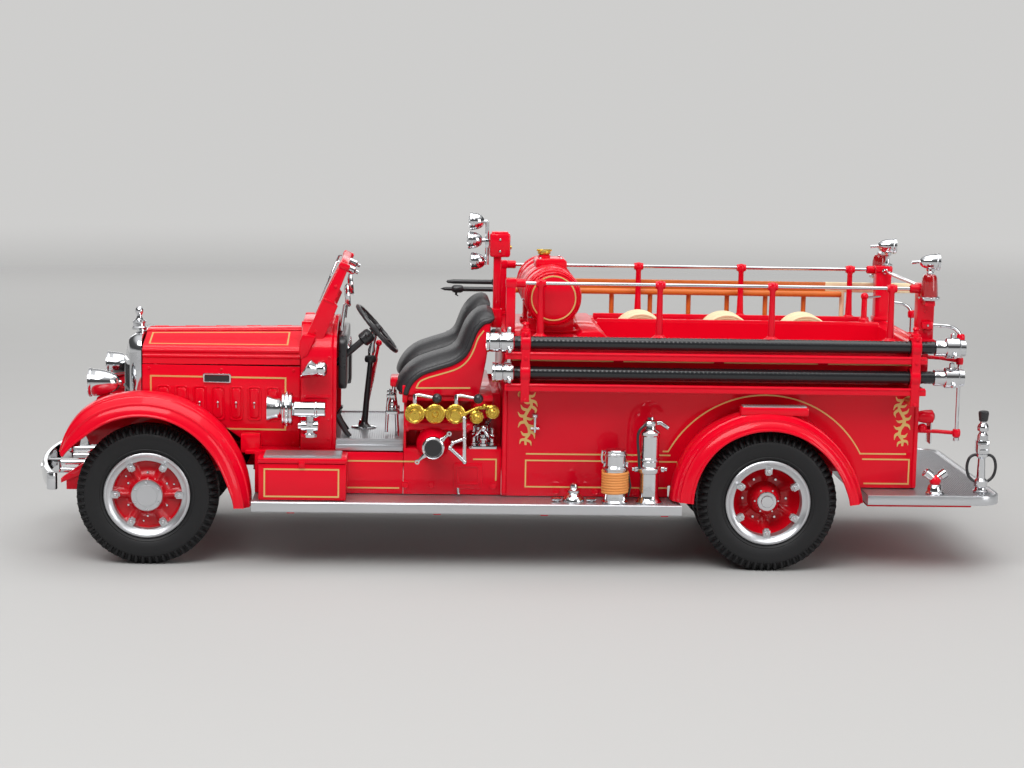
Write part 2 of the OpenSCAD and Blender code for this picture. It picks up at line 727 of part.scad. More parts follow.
module booster_tank() {
    r = tank_diameter / 2;
    head = 2.6;
    half = 26.6;
    sphere_r = (r * r + head * head) / (2 * head);
    color(red) {
        translate([tank_x, 0, tank_z]) rotate([-90, 0, 0]) rotate_extrude($fn = 96) polygon(concat(
            [[0, -half - head]],
            [for (a = [1 : 6]) let (q = asin(r / sphere_r) * a / 6)
                [sphere_r * sin(q), -half - head + sphere_r * (1 - cos(q))]],
            [for (a = [6 : -1 : 1]) let (q = asin(r / sphere_r) * a / 6)
                [sphere_r * sin(q), half + head - sphere_r * (1 - cos(q))]],
            [[0, half + head]]));
        // saddle
        difference() {
            for (y = [-15, 15]) block([tank_x - 7, y - 3, deck_top], [tank_x + 7, y + 3, tank_z - 4]);
            along_y([tank_x, -30, tank_z], 60, r - 0.2, r - 0.2);
        }
        block([tank_x - 4, -6, tank_z + r - 1.6], [tank_x + 4, 6, tank_z + r + 1.6]);
    }
    color(brass) translate([tank_x + 1.4, 0, tank_z + r + 1.6]) cylinder(h = 2.2, r = 1.6);
}

module hose_rolls() {
    roll_r = 7.9;
    color(cream) for (x = [-41.6, -69.4, -95]) for (k = [0 : 1])
        translate([x, bed_right + 1.2 + k * 7, bed_floor + roll_r]) hose_coil(roll_r, 6.4);
}

// Coil of folded hose standing on its edge
module hose_coil(r, width) {
    rotate([-90, 0, 0]) difference() {
        cylinder(h = width, r = r);
        translate([0, 0, -1]) cylinder(h = width + 2, r = 1.6);
    }
}

// ---------- rails, hoses and ladder ----------

module rail_stanchions() {
    hole = 0.65;
    color(red) both_sides() for (x = stanchion_x) difference() {
        union() {
            translate([x, rail_side_y, deck_top]) cylinder(h = 0.8, r = 2);
            translate([x, rail_side_y, deck_top]) cylinder(h = side_rail_z - deck_top, r1 = 1.2, r2 = 0.9);
            along_x([x - 1.5, rail_side_y, side_rail_z], 3, 1.3, 1.3);
        }
        along_x([x - 4, rail_side_y, side_rail_z], 8, hole, hole);
    }
    // front corner posts, each with a socket that holds the rail's end
    color(red) both_sides() difference() {
        union() {
            block([1.4, rail_side_y - 1.4, deck_top], [4.2, rail_side_y + 1.4, side_rail_z + 1]);
            along_x([-1.4, rail_side_y, side_rail_z], 3.4, 1.3, 1.3);
        }
        along_x([-2, rail_side_y, side_rail_z], 3.2, hole, hole);
    }
}

module hand_rails() {
    rail_r = 0.6;
    step_rail_y = 33.9;
    color(chrome) {
        both_sides() along_x([-119.9, rail_side_y, side_rail_z], 121.1, 0.55, 0.55);
        // cross rail between the rear posts
        along_y([post_x, -28.5, 85.2], 57, rail_r, rail_r);
        // upright hand rails over the step
        both_sides() union() {
            along_x([-131.4, step_rail_y, 74.4], 10, rail_r, rail_r);
            bar([-131.3, step_rail_y, 74.4], [-133.3, step_rail_y, 71.6], rail_r);
            along_z([-133.3, step_rail_y, 41], 30.7, rail_r, rail_r);
            block([-133.9, 30.6, 41], [body_rear, 31.8, 42.2]);
            block([-133.9, 30.6, 41], [-132.7, 34.5, 42.2]);
            block([-124.4, 33.3, 73.7], [-121.6, 34.6, 75.1]);
        }
    }
}

module suction_hoses() {
    r = hose_diameter / 2;
    color(rubber) for (z = [upper_hose_z, lower_hose_z]) along_x([-124.6, hose_y, z], 127, r, r);
}

module hose_couplings() {
    r = hose_diameter / 2;
    color(chrome) for (z = [upper_hose_z, lower_hose_z]) {
        along_x([2.5, hose_y, z], 3.4, r + 0.7, r + 0.7);
        along_x([5.9, hose_y, z], 3.6, r + 0.3, r + 0.3);
        along_x([-128, hose_y, z], 3.3, r + 0.5, r + 0.5);
        along_x([-131.4, hose_y, z], 3.4, r + 0.9, r + 0.9);
    }
}

module hose_brackets() {
    r = hose_diameter / 2;
    outer = hose_y + r + 0.9;
    color(red) {
        for (x = bracket_x) difference() {
            union() {
                block([x - 1.3, hose_y + r - 0.6, 50.4], [x + 1.3, outer, 71.4]);
                block([x - 1.3, deck_y, deck_top], [x + 1.3, deck_y + 1.4, 71.4]);
                block([x - 1.3, deck_y, 70.2], [x + 1.3, outer, 71.4]);
                block([x - 1.3, body_y, 50.4], [x + 1.3, outer, 51.8]);
            }
            for (z = [upper_hose_z, lower_hose_z]) along_x([x - 4, hose_y, z], 8, r + 0.04, r + 0.04);
            for (z = [53.6, 63.1]) block([x - 2, body_y, z - 0.05], [x + 2, ledge_y + 0.05, z + 2.05]);
        }
        // ladder arms on the right side
        for (x = [-24, -104]) difference() {
            block([x - 1.3, ladder_y - 2, ladder_z[0] - 3], [x + 1.3, -deck_y, ladder_z[0] + 3.6]);
            block([x - 2, ladder_y - 0.95, ladder_z[0] - 1.65], [x + 2, ladder_y + 0.95, ladder_z[0] + 5]);
        }
    }
}

module ladder() {
    half = 1.6;
    color(wood) {
        for (z = ladder_z) block([-136, ladder_y - 0.9, z - half], [4, ladder_y + 0.9, z + half]);
        for (k = [0 : 9]) along_z([4.6 - 12.8 * (k + 1), ladder_y, ladder_z[0] + half - 0.1],
            ladder_z[1] - ladder_z[0] - 2 * half + 0.2, 0.9, 0.9);
    }
    color(black) for (z = ladder_z) along_x([4, ladder_y, z], 17, 0.8, 0.4);
}

module pike_pole() {
    color(black) {
        along_x([-100, ladder_y + 2.2, 76.6], 123, 0.8, 0.8);
        along_x([16, ladder_y + 2.2, 76.6], 2.6, 1.3, 1.3);
    }
}

module rear_posts() {
    color(red) {
        both_sides() block([post_x - 2.5, 28.6, deck_top], [post_x + 2.5, 33.2, 86.6]);
        both_sides() block([post_x - 1.6, body_y - 2, 58], [body_rear, body_y, deck_top]);
        // cradle bar across the rear at deck height
        block([post_x - 1.4, -body_y + 2.2, deck_top - 3], [body_rear, body_y - 2.2, deck_top]);
        // lamp arms on the outer sides
        both_sides() block([post_x - 1.5, 33.1, 80.6], [post_x + 1.5, 38.4, 82]);
        // short post on the right side of the bed
        along_z([-115.6, -25, deck_top], 8.6, 1, 0.9);
    }
}

module warning_lamps() {
    color("#b00010") {
        both_sides() translate([post_x, 36.4, 83.3]) cylinder(h = 6.7, r1 = 2.6, r2 = 2.1);
        // tail lamps
        both_sides() along_x([-127.6, 30.4, 46], 5.6, 1.8, 1.8);
    }
}

module spotlights() {
    color(chrome) {
        both_sides() translate([post_x, 36.4, 82]) cylinder(h = 1.3, r = 2.9);
        both_sides() translate([post_x, 31, 86.6]) cylinder(h = 5, r = 0.8);
        both_sides() translate([post_x - 4, 31, 93.2]) rotate([0, 0, 180]) lamp_body(2.55, 6.6);
        for (p = [[14.1, 89.3], [15.1, 95.8], [14.6, 101.6]]) translate([p.x, 5, p.y]) lamp_body(2.8, 4.6);
        // stem that carries the mast lamps
        translate([9.2, 5, 87.6]) cylinder(h = 14, r = 0.6);
    }
}

module lamp_mast() {
    color(red) {
        block([4.7, 3, deck_top], [7.1, 6, 90.8]);
        block([2, 1.6, 90.7], [8.4, 7.4, 98.1]);
    }
}

module extinguishers() {
    color(chrome) both_sides() {
        union() {
            translate([-29.2, 40, board_top]) cylinder(h = 10, r = 4.15);
            translate([-29.2, 40, board_top]) cylinder(h = 16.4, r = 3.6);
        }
        union() {
            translate([-39.4, 40, board_top]) cylinder(h = 10.6, r = 4);
            translate([-39.4, 40, board_top]) cylinder(h = 21.6, r = 2.9);
            translate([-39.4, 40, board_top + 21.5]) cylinder(h = 4.6, r1 = 2.3, r2 = 1);
        }
    }
}

module hose_fittings() {
    color(chrome) {
        translate([-17, 38, board_top]) cylinder(h = 2, r = 2.6);
        translate([-141, 36, step_top]) cylinder(h = 24.8, r1 = 2.2, r2 = 1.1);
        translate([-126, 40, step_top]) cylinder(h = 6.6, r = 2);
    }
}

// ---------- steering and wheels ----------

module knuckle() {
    ear_r = 2.5;
    color(black) difference() {
        union() {
            for (z = [axle_z + 2.4, axle_z - 4.6]) translate([front_axle_x, kingpin_y, z]) cylinder(h = 2.2, r = ear_r);
            block([front_axle_x - 2, kingpin_y + 2.5, axle_z - 4.6], [front_axle_x + 2, kingpin_y + 4, axle_z + 4.6]);
            for (z = [axle_z + 2.4, axle_z - 4.6])
                block([front_axle_x - 2, kingpin_y, z], [front_axle_x + 2, kingpin_y + 4, z + 2.2]);
            along_y([front_axle_x, kingpin_y + 3.9, axle_z], 9.6, spindle_radius, spindle_radius);
            // steering arm
            block([front_axle_x - 9, kingpin_y - 3.6, axle_z - 4.6], [front_axle_x - 1, kingpin_y - 1.4, axle_z - 3]);
            block([front_axle_x - 3, kingpin_y - 3.6, axle_z - 4.6], [front_axle_x - 1, kingpin_y, axle_z - 3]);
        }
        translate([front_axle_x, kingpin_y, 0]) cylinder(h = 60, r = 1.2 + running_gap);
    }
}

module front_left_knuckle() {
    knuckle();
}
module front_right_knuckle() {
    mirror([0, 1, 0]) knuckle();
}

module tie_rod() {
    color(black) along_y([front_axle_x - 8, -kingpin_y + 1, axle_z - 6.4], 2 * kingpin_y - 2, 0.9, 0.9);
}

// Tyre section about the axle
module tyre_shape(centre_y) {
    half = tyre_width / 2;
    translate([0, centre_y, axle_z]) wheel_turn() polygon([[rim_r + 0.05, -half + 1], [rim_r + 0.6, -half + 0.5],
        [tyre_r - 5, -half], [tyre_r - 2, -half + 0.5], [tyre_r - 0.5, -half + 1.5], [tyre_r, -half + 2.6],
        [tyre_r, half - 2.6], [tyre_r - 0.5, half - 1.5], [tyre_r - 2, half - 0.5], [tyre_r - 5, half],
        [rim_r + 0.6, half - 0.5], [rim_r + 0.05, half - 1]]);
}

module front_tyre() {
    color(rubber) translate([front_axle_x, 0, 0]) tyre_shape(front_track_half);
}
module rear_tyres() {
    color(rubber) translate([rear_axle_x, 0, 0]) {
        tyre_shape(rear_track_half);
        tyre_shape(rear_track_half - 12);
    }
}

module front_left_tyre() {
    front_tyre();
}
module front_right_tyre() {
    mirror([0, 1, 0]) front_tyre();
}
module rear_left_tyres() {
    rear_tyres();
}
module rear_right_tyres() {
    mirror([0, 1, 0]) rear_tyres();
}

// Rim band between two places across the wheel
module rim_band(y0, y1) {
    wheel_turn() polygon([[rim_r - 1.4, y0 + 0.6], [rim_r, y0], [rim_r, y1], [rim_r - 1.4, y1 - 0.6]]);
}

// Six hand holes between the spokes
module hand_holes(y, turn) {
    for (a = [0 : 60 : 300]) rotate([0, a + turn, 0]) along_y([8, y - 5, 0], 10, 1.5, 1.5);
}

module front_wheel() {
    bore = spindle_radius + running_gap;
    half = tyre_width / 2;
    color(red) translate([front_axle_x, front_track_half, axle_z]) difference() {
        union() {
            rim_band(-half + 0.4, half - 0.4);
            wheel_turn() polygon([[0, -1.4], [4.6, -1.4], [rim_r - 1, 1], [rim_r - 1, 2.4], [5, 1.4], [4.6, 4.8], [0, 4.8]]);
            along_y([0, -4.4, 0], 3.2, 3.4, 3.4);
        }
        along_y([0, -10, 0], 10 + 4.2, bore, bore);
        hand_holes(1.4, 30);
    }
}

module rear_wheel() {
    bore = spindle_radius + running_gap;
    half = tyre_width / 2;
    inner = rear_track_half - 12;
    color(red) translate([rear_axle_x, 0, axle_z]) difference() {
        union() {
            translate([0, rear_track_half, 0]) rim_band(-half + 0.4, half - 0.4);
            translate([0, inner, 0]) rim_band(-half + 0.4, half - 0.4);
            translate([0, rear_track_half, 0]) wheel_turn()
                polygon([[0, -6.6], [4.4, -6.6], [rim_r - 1, -5], [rim_r - 1, -3.6], [4.8, -5], [3.2, 2.4], [0, 2.4]]);
            translate([0, inner, 0]) wheel_turn()
                polygon([[0, -3.6], [3.6, -3.6], [3.6, 5.4], [4.4, 5.4], [rim_r - 1, 3.6], [rim_r - 1, 5], [4.4, 6.8],
                    [0, 6.8]]);
        }
        along_y([0, 10, 0], 30.2, bore, bore);
        translate([0, rear_track_half - 4.4, 0]) hand_holes(0, 0);
    }
}

module front_left_wheel() {
    front_wheel();
}
module front_right_wheel() {
    mirror([0, 1, 0]) front_wheel();
}
module rear_left_wheel() {
    rear_wheel();
}
module rear_right_wheel() {
    mirror([0, 1, 0]) rear_wheel();
}

chassis_frame();
front_axle();
leaf_springs();
rear_axle();
drivetrain();
exhaust();
engine();
radiator_shell();
radiator_grille();
hood_sides();
cowl();
windshield_frame();
windshield_glass();
front_fenders();
rear_fenders();
running_boards();
toolboxes();
front_bumper();
front_lamps();
siren();
cab_floor();
steering_column();
floor_controls();
seat_frames();
seat_cushions();
pump_housing();
pump_valves();
pump_controls();
suction_cap();
rear_body();
booster_tank();
hose_rolls();
hand_rails();
rail_stanchions();
suction_hoses();
hose_couplings();
hose_brackets();
ladder();
pike_pole();
rear_posts();
warning_lamps();
spotlights();
rear_step();
extinguishers();
hose_fittings();
lamp_mast();
hood_left();
hood_right();
steering_wheel();
front_left_knuckle();
front_right_knuckle();
tie_rod();
front_left_tyre();
front_right_tyre();
rear_left_tyres();
rear_right_tyres();
front_left_wheel();
front_right_wheel();
rear_left_wheel();
rear_right_wheel();
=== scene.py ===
"""Looks of the model fire engine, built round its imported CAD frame.

Shapes are written in millimetres in the row's frame: +X is the engine's front, +Y its left side, +Z up.
"""

from math import atan2, cos, degrees, exp, pi, radians, sin, sqrt, tau

import bmesh
import bpy
from mathutils import Matrix, Vector


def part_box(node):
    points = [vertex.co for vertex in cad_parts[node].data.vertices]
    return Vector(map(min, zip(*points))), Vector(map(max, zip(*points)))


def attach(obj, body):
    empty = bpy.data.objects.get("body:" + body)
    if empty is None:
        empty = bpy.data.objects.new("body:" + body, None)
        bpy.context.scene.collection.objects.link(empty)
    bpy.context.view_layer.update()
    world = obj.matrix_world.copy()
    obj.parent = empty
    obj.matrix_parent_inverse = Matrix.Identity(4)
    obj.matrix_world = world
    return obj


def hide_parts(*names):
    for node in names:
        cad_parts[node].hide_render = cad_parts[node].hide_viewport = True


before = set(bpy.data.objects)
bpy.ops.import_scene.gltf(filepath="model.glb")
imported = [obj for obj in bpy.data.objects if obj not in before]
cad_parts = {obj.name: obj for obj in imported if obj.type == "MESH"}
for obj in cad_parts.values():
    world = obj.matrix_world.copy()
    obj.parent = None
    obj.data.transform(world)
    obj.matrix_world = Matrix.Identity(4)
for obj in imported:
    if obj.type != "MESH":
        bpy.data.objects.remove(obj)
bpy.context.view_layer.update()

MM = 0.001


def corner(node):
    """Lowest and highest corner of a CAD node, in millimetres."""
    low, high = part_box(node)
    return low / MM, high / MM


# ---------- materials ----------

BUMP_DEPTH = 0.0002


def fill(tree, node, inputs):
    """Sets a node's inputs; one that is given as another node's output is linked."""
    for key, value in inputs.items():
        if isinstance(value, bpy.types.NodeSocket):
            tree.links.new(value, node.inputs[key])
        else:
            node.inputs[key].default_value = value


def add_node(tree, kind, inputs=None, **settings):
    node = tree.nodes.new("ShaderNode" + kind)
    for key, value in settings.items():
        setattr(node, key, value)
    fill(tree, node, inputs or {})
    return node


def finish(name, colour, rough, metal=0.0, coat=0.0, tint=0.06, grain=700.0, relief=0.08, spread=0.05,
        broad=55.0, stretch=(1, 1, 1), sockets=None):
    """Principled material whose colour drifts slowly and whose gloss and surface vary finely."""
    m = bpy.data.materials.new(name)
    m.use_nodes = True
    tree = m.node_tree
    coords = add_node(tree, "TexCoord").outputs["Object"]
    place = add_node(tree, "Mapping", {"Scale": stretch, "Vector": coords}).outputs["Vector"]
    drift, fine = [add_node(tree, "TexNoise", {"Scale": scale, "Detail": detail,
        "Vector": place}).outputs["Fac"] for scale, detail in ((broad, 3), (grain, 5))]
    dark, pale = [(*[min(1, c * shade) for c in colour], 1) for shade in (1 - tint, 1 + tint)]
    mix = add_node(tree, "Mix", data_type="RGBA")
    fill(tree, mix, {0: drift, 6: dark, 7: pale})
    gloss = add_node(tree, "MapRange", {"To Min": max(0.02, rough - spread), "To Max": rough + spread,
        "Value": fine})
    bump = add_node(tree, "Bump", {"Strength": relief, "Distance": BUMP_DEPTH, "Height": fine})
    fill(tree, tree.nodes["Principled BSDF"], {"Base Color": mix.outputs[2],
        "Roughness": gloss.outputs["Result"], "Normal": bump.outputs["Normal"], "Metallic": metal,
        "Coat Weight": coat, "Coat Roughness": 0.04, **(sockets or {})})
    return m


# disc: the red enamel darkened as painted shade, standing in for the shadow in the wheel discs' recesses
MATERIALS = {"red": finish("red_enamel", (0.70, 0.001, 0.016), 0.3, coat=0.35, tint=0.05, relief=0.02,
    sockets={"Specular IOR Level": 0.1}), "disc": finish("disc_red_painted_shade", (0.50, 0.001, 0.008), 0.3, coat=0.3,
    tint=0.05, relief=0.03, sockets={"Specular IOR Level": 0.3}),
    "chrome": finish("bright_plating", (0.66, 0.67, 0.69), 0.09, metal=1, tint=0.03, relief=0.03,
    spread=0.03), "satin": finish("satin_silver", (0.58, 0.59, 0.61), 0.3, metal=0.85, tint=0.05, relief=0.1),
    "tread": finish("tread_plating", (0.50, 0.51, 0.53), 0.32, metal=0.82, tint=0.06, relief=0.08),
    "gold": finish("gold_paint", (0.74, 0.50, 0.17), 0.34, metal=0.35, tint=0.12, relief=0.1),
    "tyre": finish("tyre_rubber", (0.009, 0.009, 0.01), 0.55, tint=0.25, relief=0.35, spread=0.1,
    sockets={"Specular IOR Level": 0.35}), "hose": finish("hose_rubber", (0.012, 0.013, 0.015), 0.2,
    tint=0.25, relief=0.05, spread=0.05), "black": finish("black_plastic", (0.018, 0.018, 0.02), 0.3,
    tint=0.25, relief=0.15, spread=0.08), "steel": finish("black_chassis_paint", (0.03, 0.03, 0.033), 0.4,
    metal=0.2, tint=0.2, relief=0.25), "vinyl": finish("seat_vinyl", (0.02, 0.02, 0.022), 0.42, tint=0.3,
    grain=1500, relief=0.55, spread=0.1), "brass": finish("brass", (0.64, 0.44, 0.07), 0.27, metal=0.85,
    tint=0.1, relief=0.1), "canvas": finish("hose_canvas", (0.78, 0.66, 0.42), 0.85, tint=0.14, grain=2600,
    relief=0.8), "orange": finish("orange_hose", (0.72, 0.28, 0.07), 0.6, tint=0.14, grain=2000, relief=0.5),
    "wood": finish("ladder_wood", (0.60, 0.14, 0.014), 0.42, tint=0.28, grain=900, relief=0.3, broad=260,
    stretch=(0.12, 1, 1)), "cream": finish("cream_paint", (0.84, 0.72, 0.46), 0.5, tint=0.08, relief=0.2),
    "lens": finish("red_lens", (0.5, 0.002, 0.006), 0.12, coat=1, tint=0.15, relief=0.05,
    sockets={"Transmission Weight": 0.35, "IOR": 1.5}),
    "glass": finish("clear_glass", (0.92, 0.95, 0.96), 0.04, tint=0.01, relief=0.01, spread=0.02,
    sockets={"Transmission Weight": 0.95, "IOR": 1.3, "Alpha": 0.35}),
    "grey": finish("grey_steel", (0.30, 0.31, 0.32), 0.38, metal=0.8, tint=0.15, relief=0.25),}


# ---------- shape code ----------

# Edges sharper than this, in radians, are the ones that are eased
BEVEL_ANGLE = 0.55
BASES = {"x": ((0, 1, 0), (0, 0, 1), (1, 0, 0)), "y": ((1, 0, 0), (0, 0, 1), (0, 1, 0)),
    "z": ((1, 0, 0), (0, 1, 0), (0, 0, 1))}


def basis(axis):
    """Two cross directions and the axis itself, for "x", "y", "z" or any direction."""
    if isinstance(axis, str):
        return [Vector(v) for v in BASES[axis]]
    w = Vector(axis).normalized()
    u = w.orthogonal().normalized()
    return [u, w.cross(u), w]


class Part:
    """One piece of the model, gathered from shapes in millimetres, each with its own material."""

    def __init__(self, name):
        self.name, self.verts, self.faces, self.index, self.names = name, [], [], [], []
        self.put()

    def put(self, x=0, y=0, z=0, axis="z", turn=0):
        """Makes the next shapes about a new origin, turned there about an axis."""
        self.at = Matrix.Translation((x, y, z)) @ Matrix.Rotation(radians(turn), 4, axis.upper())

    def add(self, mat, verts, faces, bevel=0, segments=2):
        if bevel:
            bm = bmesh.new()
            made = [bm.verts.new(v) for v in verts]
            for f in faces:
                bm.faces.new([made[i] for i in f])
            bmesh.ops.recalc_face_normals(bm, faces=bm.faces)
            edges = [e for e in bm.edges if len(e.link_faces) == 2 and e.calc_face_angle(0) > BEVEL_ANGLE]
            bmesh.ops.bevel(bm, geom=edges, offset=bevel, offset_type="OFFSET", segments=segments,
                profile=0.5, affect="EDGES", clamp_overlap=True)
            bm.verts.index_update()
            verts = [v.co.copy() for v in bm.verts]
            faces = [[v.index for v in f.verts] for f in bm.faces]
            bm.free()
        if mat not in self.names:
            self.names.append(mat)
        start = len(self.verts)
        self.verts += [self.at @ Vector(v) for v in verts]
        self.faces += [[start + i for i in f] for f in faces]
        self.index += [self.names.index(mat)] * len(faces)

    def box(self, mat, low, high, bevel=0.2):
        x, y, z = (sorted(pair) for pair in zip(low, high))
        verts = [(a, b, c) for a in x for b in y for c in z]
        faces = [(0, 1, 3, 2), (4, 6, 7, 5), (0, 4, 5, 1), (2, 3, 7, 6), (0, 2, 6, 4), (1, 5, 7, 3)]
        self.add(mat, verts, faces, bevel)

    def prism(self, mat, axis, outline, start, end, bevel=0.2, segments=2):
        """Outline raised along an axis: (y, z) along x, (x, z) along y, (x, y) along z."""
        u, v, w = basis(axis)
        n = len(outline)
        verts = [u * a + v * b + w * t for t in sorted((start, end)) for a, b in outline]
        faces = [list(range(n)), list(range(2 * n - 1, n - 1, -1))]
        faces += [(i, (i + 1) % n, n + (i + 1) % n, n + i) for i in range(n)]
        self.add(mat, verts, faces, bevel, segments)

    def lathe(self, mat, profile, centre=(0, 0, 0), axis="z", steps=40, ring=False, shape=None):
        """Profile of (radius, distance along the axis) turned round it; ring=True joins its two ends."""
        u, v, w = basis(axis)
        verts, rows = [], []
        for i, (r, t) in enumerate(profile):
            if r < 1e-6:
                rows.append([len(verts)] * steps)
                verts.append(Vector(centre) + w * t)
                continue
            rows.append(list(range(len(verts), len(verts) + steps)))
            for k in range(steps):
                rr, tt = shape(k, r, t) if shape else (r, t)
                a = tau * k / steps
                verts.append(Vector(centre) + u * (rr * cos(a)) + v * (rr * sin(a)) + w * tt)
        pairs = list(zip(rows, rows[1:])) + ([(rows[-1], rows[0])] if ring else [])
        faces = []
        for p, q in pairs:
            for k in range(steps):
                j = (k + 1) % steps
                face = [p[k], p[j], q[j], q[k]]
                face = [x for n, x in enumerate(face) if x not in face[:n]]
                if len(face) > 2:
                    faces.append(face)
        if not ring:
            for row in (rows[0], rows[-1]):
                if len(set(row)) > 1:
                    faces.append(row)
        self.add(mat, verts, faces)

    def loft(self, mat, rings, caps=True, closed=False, bevel=0):
        """Skin through rings of equally many points."""
        n = len(rings[0])
        verts = [p for ring in rings for p in ring]
        spans = range(len(rings) if closed else len(rings) - 1)
        faces = [(i * n + j, i * n + (j + 1) % n, (i + 1) % len(rings) * n + (j + 1) % n,
            (i + 1) % len(rings) * n + j) for i in spans for j in range(n)]
        if caps and not closed:
            faces += [list(range(n)), list(range((len(rings) - 1) * n, len(rings) * n))]
        self.add(mat, verts, faces, bevel)

    def tube(self, mat, path, r, steps=12, closed=False):
        """Round bar along a path; r is one radius or one for each point."""
        path = [Vector(p) for p in path]
        n = len(path)
        radii = r if isinstance(r, (list, tuple)) else [r] * n
        rings, side = [], None
        for i, p in enumerate(path):
            before = path[i - 1] if i or closed else p
            after = path[(i + 1) % n] if i < n - 1 or closed else p
            ahead = (after - before).normalized()
            side = ahead.orthogonal() if side is None else side - ahead * side.dot(ahead)
            side.normalize()
            other = ahead.cross(side)
            rings.append([p + (side * a + other * b) * radii[i] for a, b in around(steps)])
        self.loft(mat, rings, closed=closed)

    def ball(self, mat, centre, r, steps=20):
        rows = steps // 2
        self.lathe(mat, [(r * sin(pi * i / rows), -r * cos(pi * i / rows)) for i in range(rows + 1)], centre,
            "z", steps)

    def bolt(self, mat, centre, axis, r=0.45, height=0.35, steps=6):
        self.lathe(mat, [(r, 0), (r, height * 0.7), (r * 0.75, height), (0, height)], centre, axis, steps)

    def stripe(self, mat, path, width, place, thick=0.07, closed=False):
        """Thin raised line along a flat path; place(a, b, h) gives the point at height h off the surface."""
        pts = [Vector(p) for p in path]
        n = len(pts)
        widths = width if isinstance(width, (list, tuple)) else [width] * n
        rings = []
        for i, p in enumerate(pts):
            before = pts[i - 1] if i or closed else p
            after = pts[(i + 1) % n] if i < n - 1 or closed else p
            d1, d2 = (p - before), (after - p)
            d1 = d1.normalized() if d1.length > 1e-9 else d2.normalized()
            d2 = d2.normalized() if d2.length > 1e-9 else d1
            t = (d1 + d2).normalized()
            side = Vector((-t.y, t.x)) * (widths[i] / 2 / max(0.35, t.dot(d1)))
            a, b = p + side, p - side
            rings.append([place(a.x, a.y, -0.05), place(a.x, a.y, thick), place(b.x, b.y, thick),
                place(b.x, b.y, -0.05)])
        self.loft(mat, rings, closed=closed)

    def join(self, other):
        """Takes over the shapes of another part."""
        start = len(self.verts)
        self.verts += other.verts
        self.faces += [[start + i for i in f] for f in other.faces]
        self.names += [n for n in other.names if n not in self.names]
        self.index += [self.names.index(other.names[i]) for i in other.index]

    def mirror(self):
        """Adds the mirrored copy on the right side."""
        start = len(self.verts)
        self.verts += [Vector((v.x, -v.y, v.z)) for v in self.verts]
        self.faces += [[start + i for i in reversed(f)] for f in list(self.faces)]
        self.index += list(self.index)
        return self

    def make(self, *nodes, body="chassis", slot=None, sharp=32, mirrored=False):
        """Makes the object, riding on a body and standing for CAD nodes."""
        if mirrored:
            self.verts = [Vector((v.x, -v.y, v.z)) for v in self.verts]
        mesh = bpy.data.meshes.new(self.name)
        mesh.from_pydata([v * MM for v in self.verts], [], self.faces)
        for name in self.names:
            mesh.materials.append(MATERIALS[name])
        mesh.polygons.foreach_set("material_index", self.index)
        bm = bmesh.new()
        bm.from_mesh(mesh)
        bmesh.ops.recalc_face_normals(bm, faces=bm.faces)
        bm.to_mesh(mesh)
        bm.free()
        mesh.shade_smooth()
        mesh.set_sharp_from_angle(angle=radians(sharp))
        obj = bpy.data.objects.new(self.name, mesh)
        bpy.context.scene.collection.objects.link(obj)
        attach(obj, body)
        if nodes:
            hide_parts(*nodes)
        return obj


def spline(points, steps=6):
    """Smooth curve through given points."""
    pts = [Vector(p) for p in points]
    pts = [2 * pts[0] - pts[1]] + pts + [2 * pts[-1] - pts[-2]]
    out = []
    for a, b, c, d in zip(pts, pts[1:], pts[2:], pts[3:]):
        for k in range(steps):
            t = k / steps
            out.append(0.5 * (2 * b + (c - a) * t + (2 * a - 5 * b + 4 * c - d) * t * t
                + (3 * b - a - 3 * c + d) * t ** 3))
    return out + [pts[-2]]


def cad_copy(part, mat, node, bevel=0.2, keep=None, slices=(), bend=None):
    """Adds a CAD node's solids with their edges eased; keep(low, high) chooses solids by their corners,
    and bend(x, y, z) moves their points once they are cut across at each x in slices."""
    bm = bmesh.new()
    bm.from_mesh(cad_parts[node].data)
    bmesh.ops.scale(bm, vec=(1 / MM,) * 3, verts=bm.verts)
    bmesh.ops.remove_doubles(bm, verts=bm.verts, dist=0.001)
    bmesh.ops.dissolve_limit(bm, angle_limit=0.02, verts=bm.verts, edges=bm.edges)
    for x in slices:
        bmesh.ops.bisect_plane(bm, geom=bm.verts[:] + bm.edges[:] + bm.faces[:], plane_co=(x, 0, 0),
            plane_no=(1, 0, 0))
    if bend:
        for v in bm.verts:
            v.co = bend(*v.co)
    bm.verts.ensure_lookup_table()
    bm.faces.index_update()
    seen = set()
    for first in bm.verts:
        if first in seen or not first.link_faces:
            continue
        island, queue = [], [first]
        seen.add(first)
        while queue:
            v = queue.pop()
            island.append(v)
            for e in v.link_edges:
                o = e.other_vert(v)
                if o not in seen:
                    seen.add(o)
                    queue.append(o)
        xs, ys, zs = zip(*[v.co for v in island])
        if keep and not keep((min(xs), min(ys), min(zs)), (max(xs), max(ys), max(zs))):
            continue
        place = {v: i for i, v in enumerate(island)}
        faces = {f for v in island for f in v.link_faces}
        part.add(mat, [v.co.copy() for v in island],
            [[place[v] for v in f.verts] for f in sorted(faces, key=lambda f: f.index)], bevel)
    bm.free()


def plain(name, mat, node, body="chassis"):
    """A piece that is its CAD node with eased edges and a real finish."""
    part = Part(name)
    cad_copy(part, mat, node, 0.15)
    part.make(node, body=body)


def arc(centre, r, start, end, steps):
    """Points of an arc, angles in degrees."""
    return [(centre[0] + r * cos(radians(start + (end - start) * i / steps)), centre[1]
        + r * sin(radians(start + (end - start) * i / steps))) for i in range(steps + 1)]


def around(n, r=1, first=0):
    """Points spread evenly round a circle."""
    return [(r * cos(tau * (k + first) / n), r * sin(tau * (k + first) / n)) for k in range(n)]


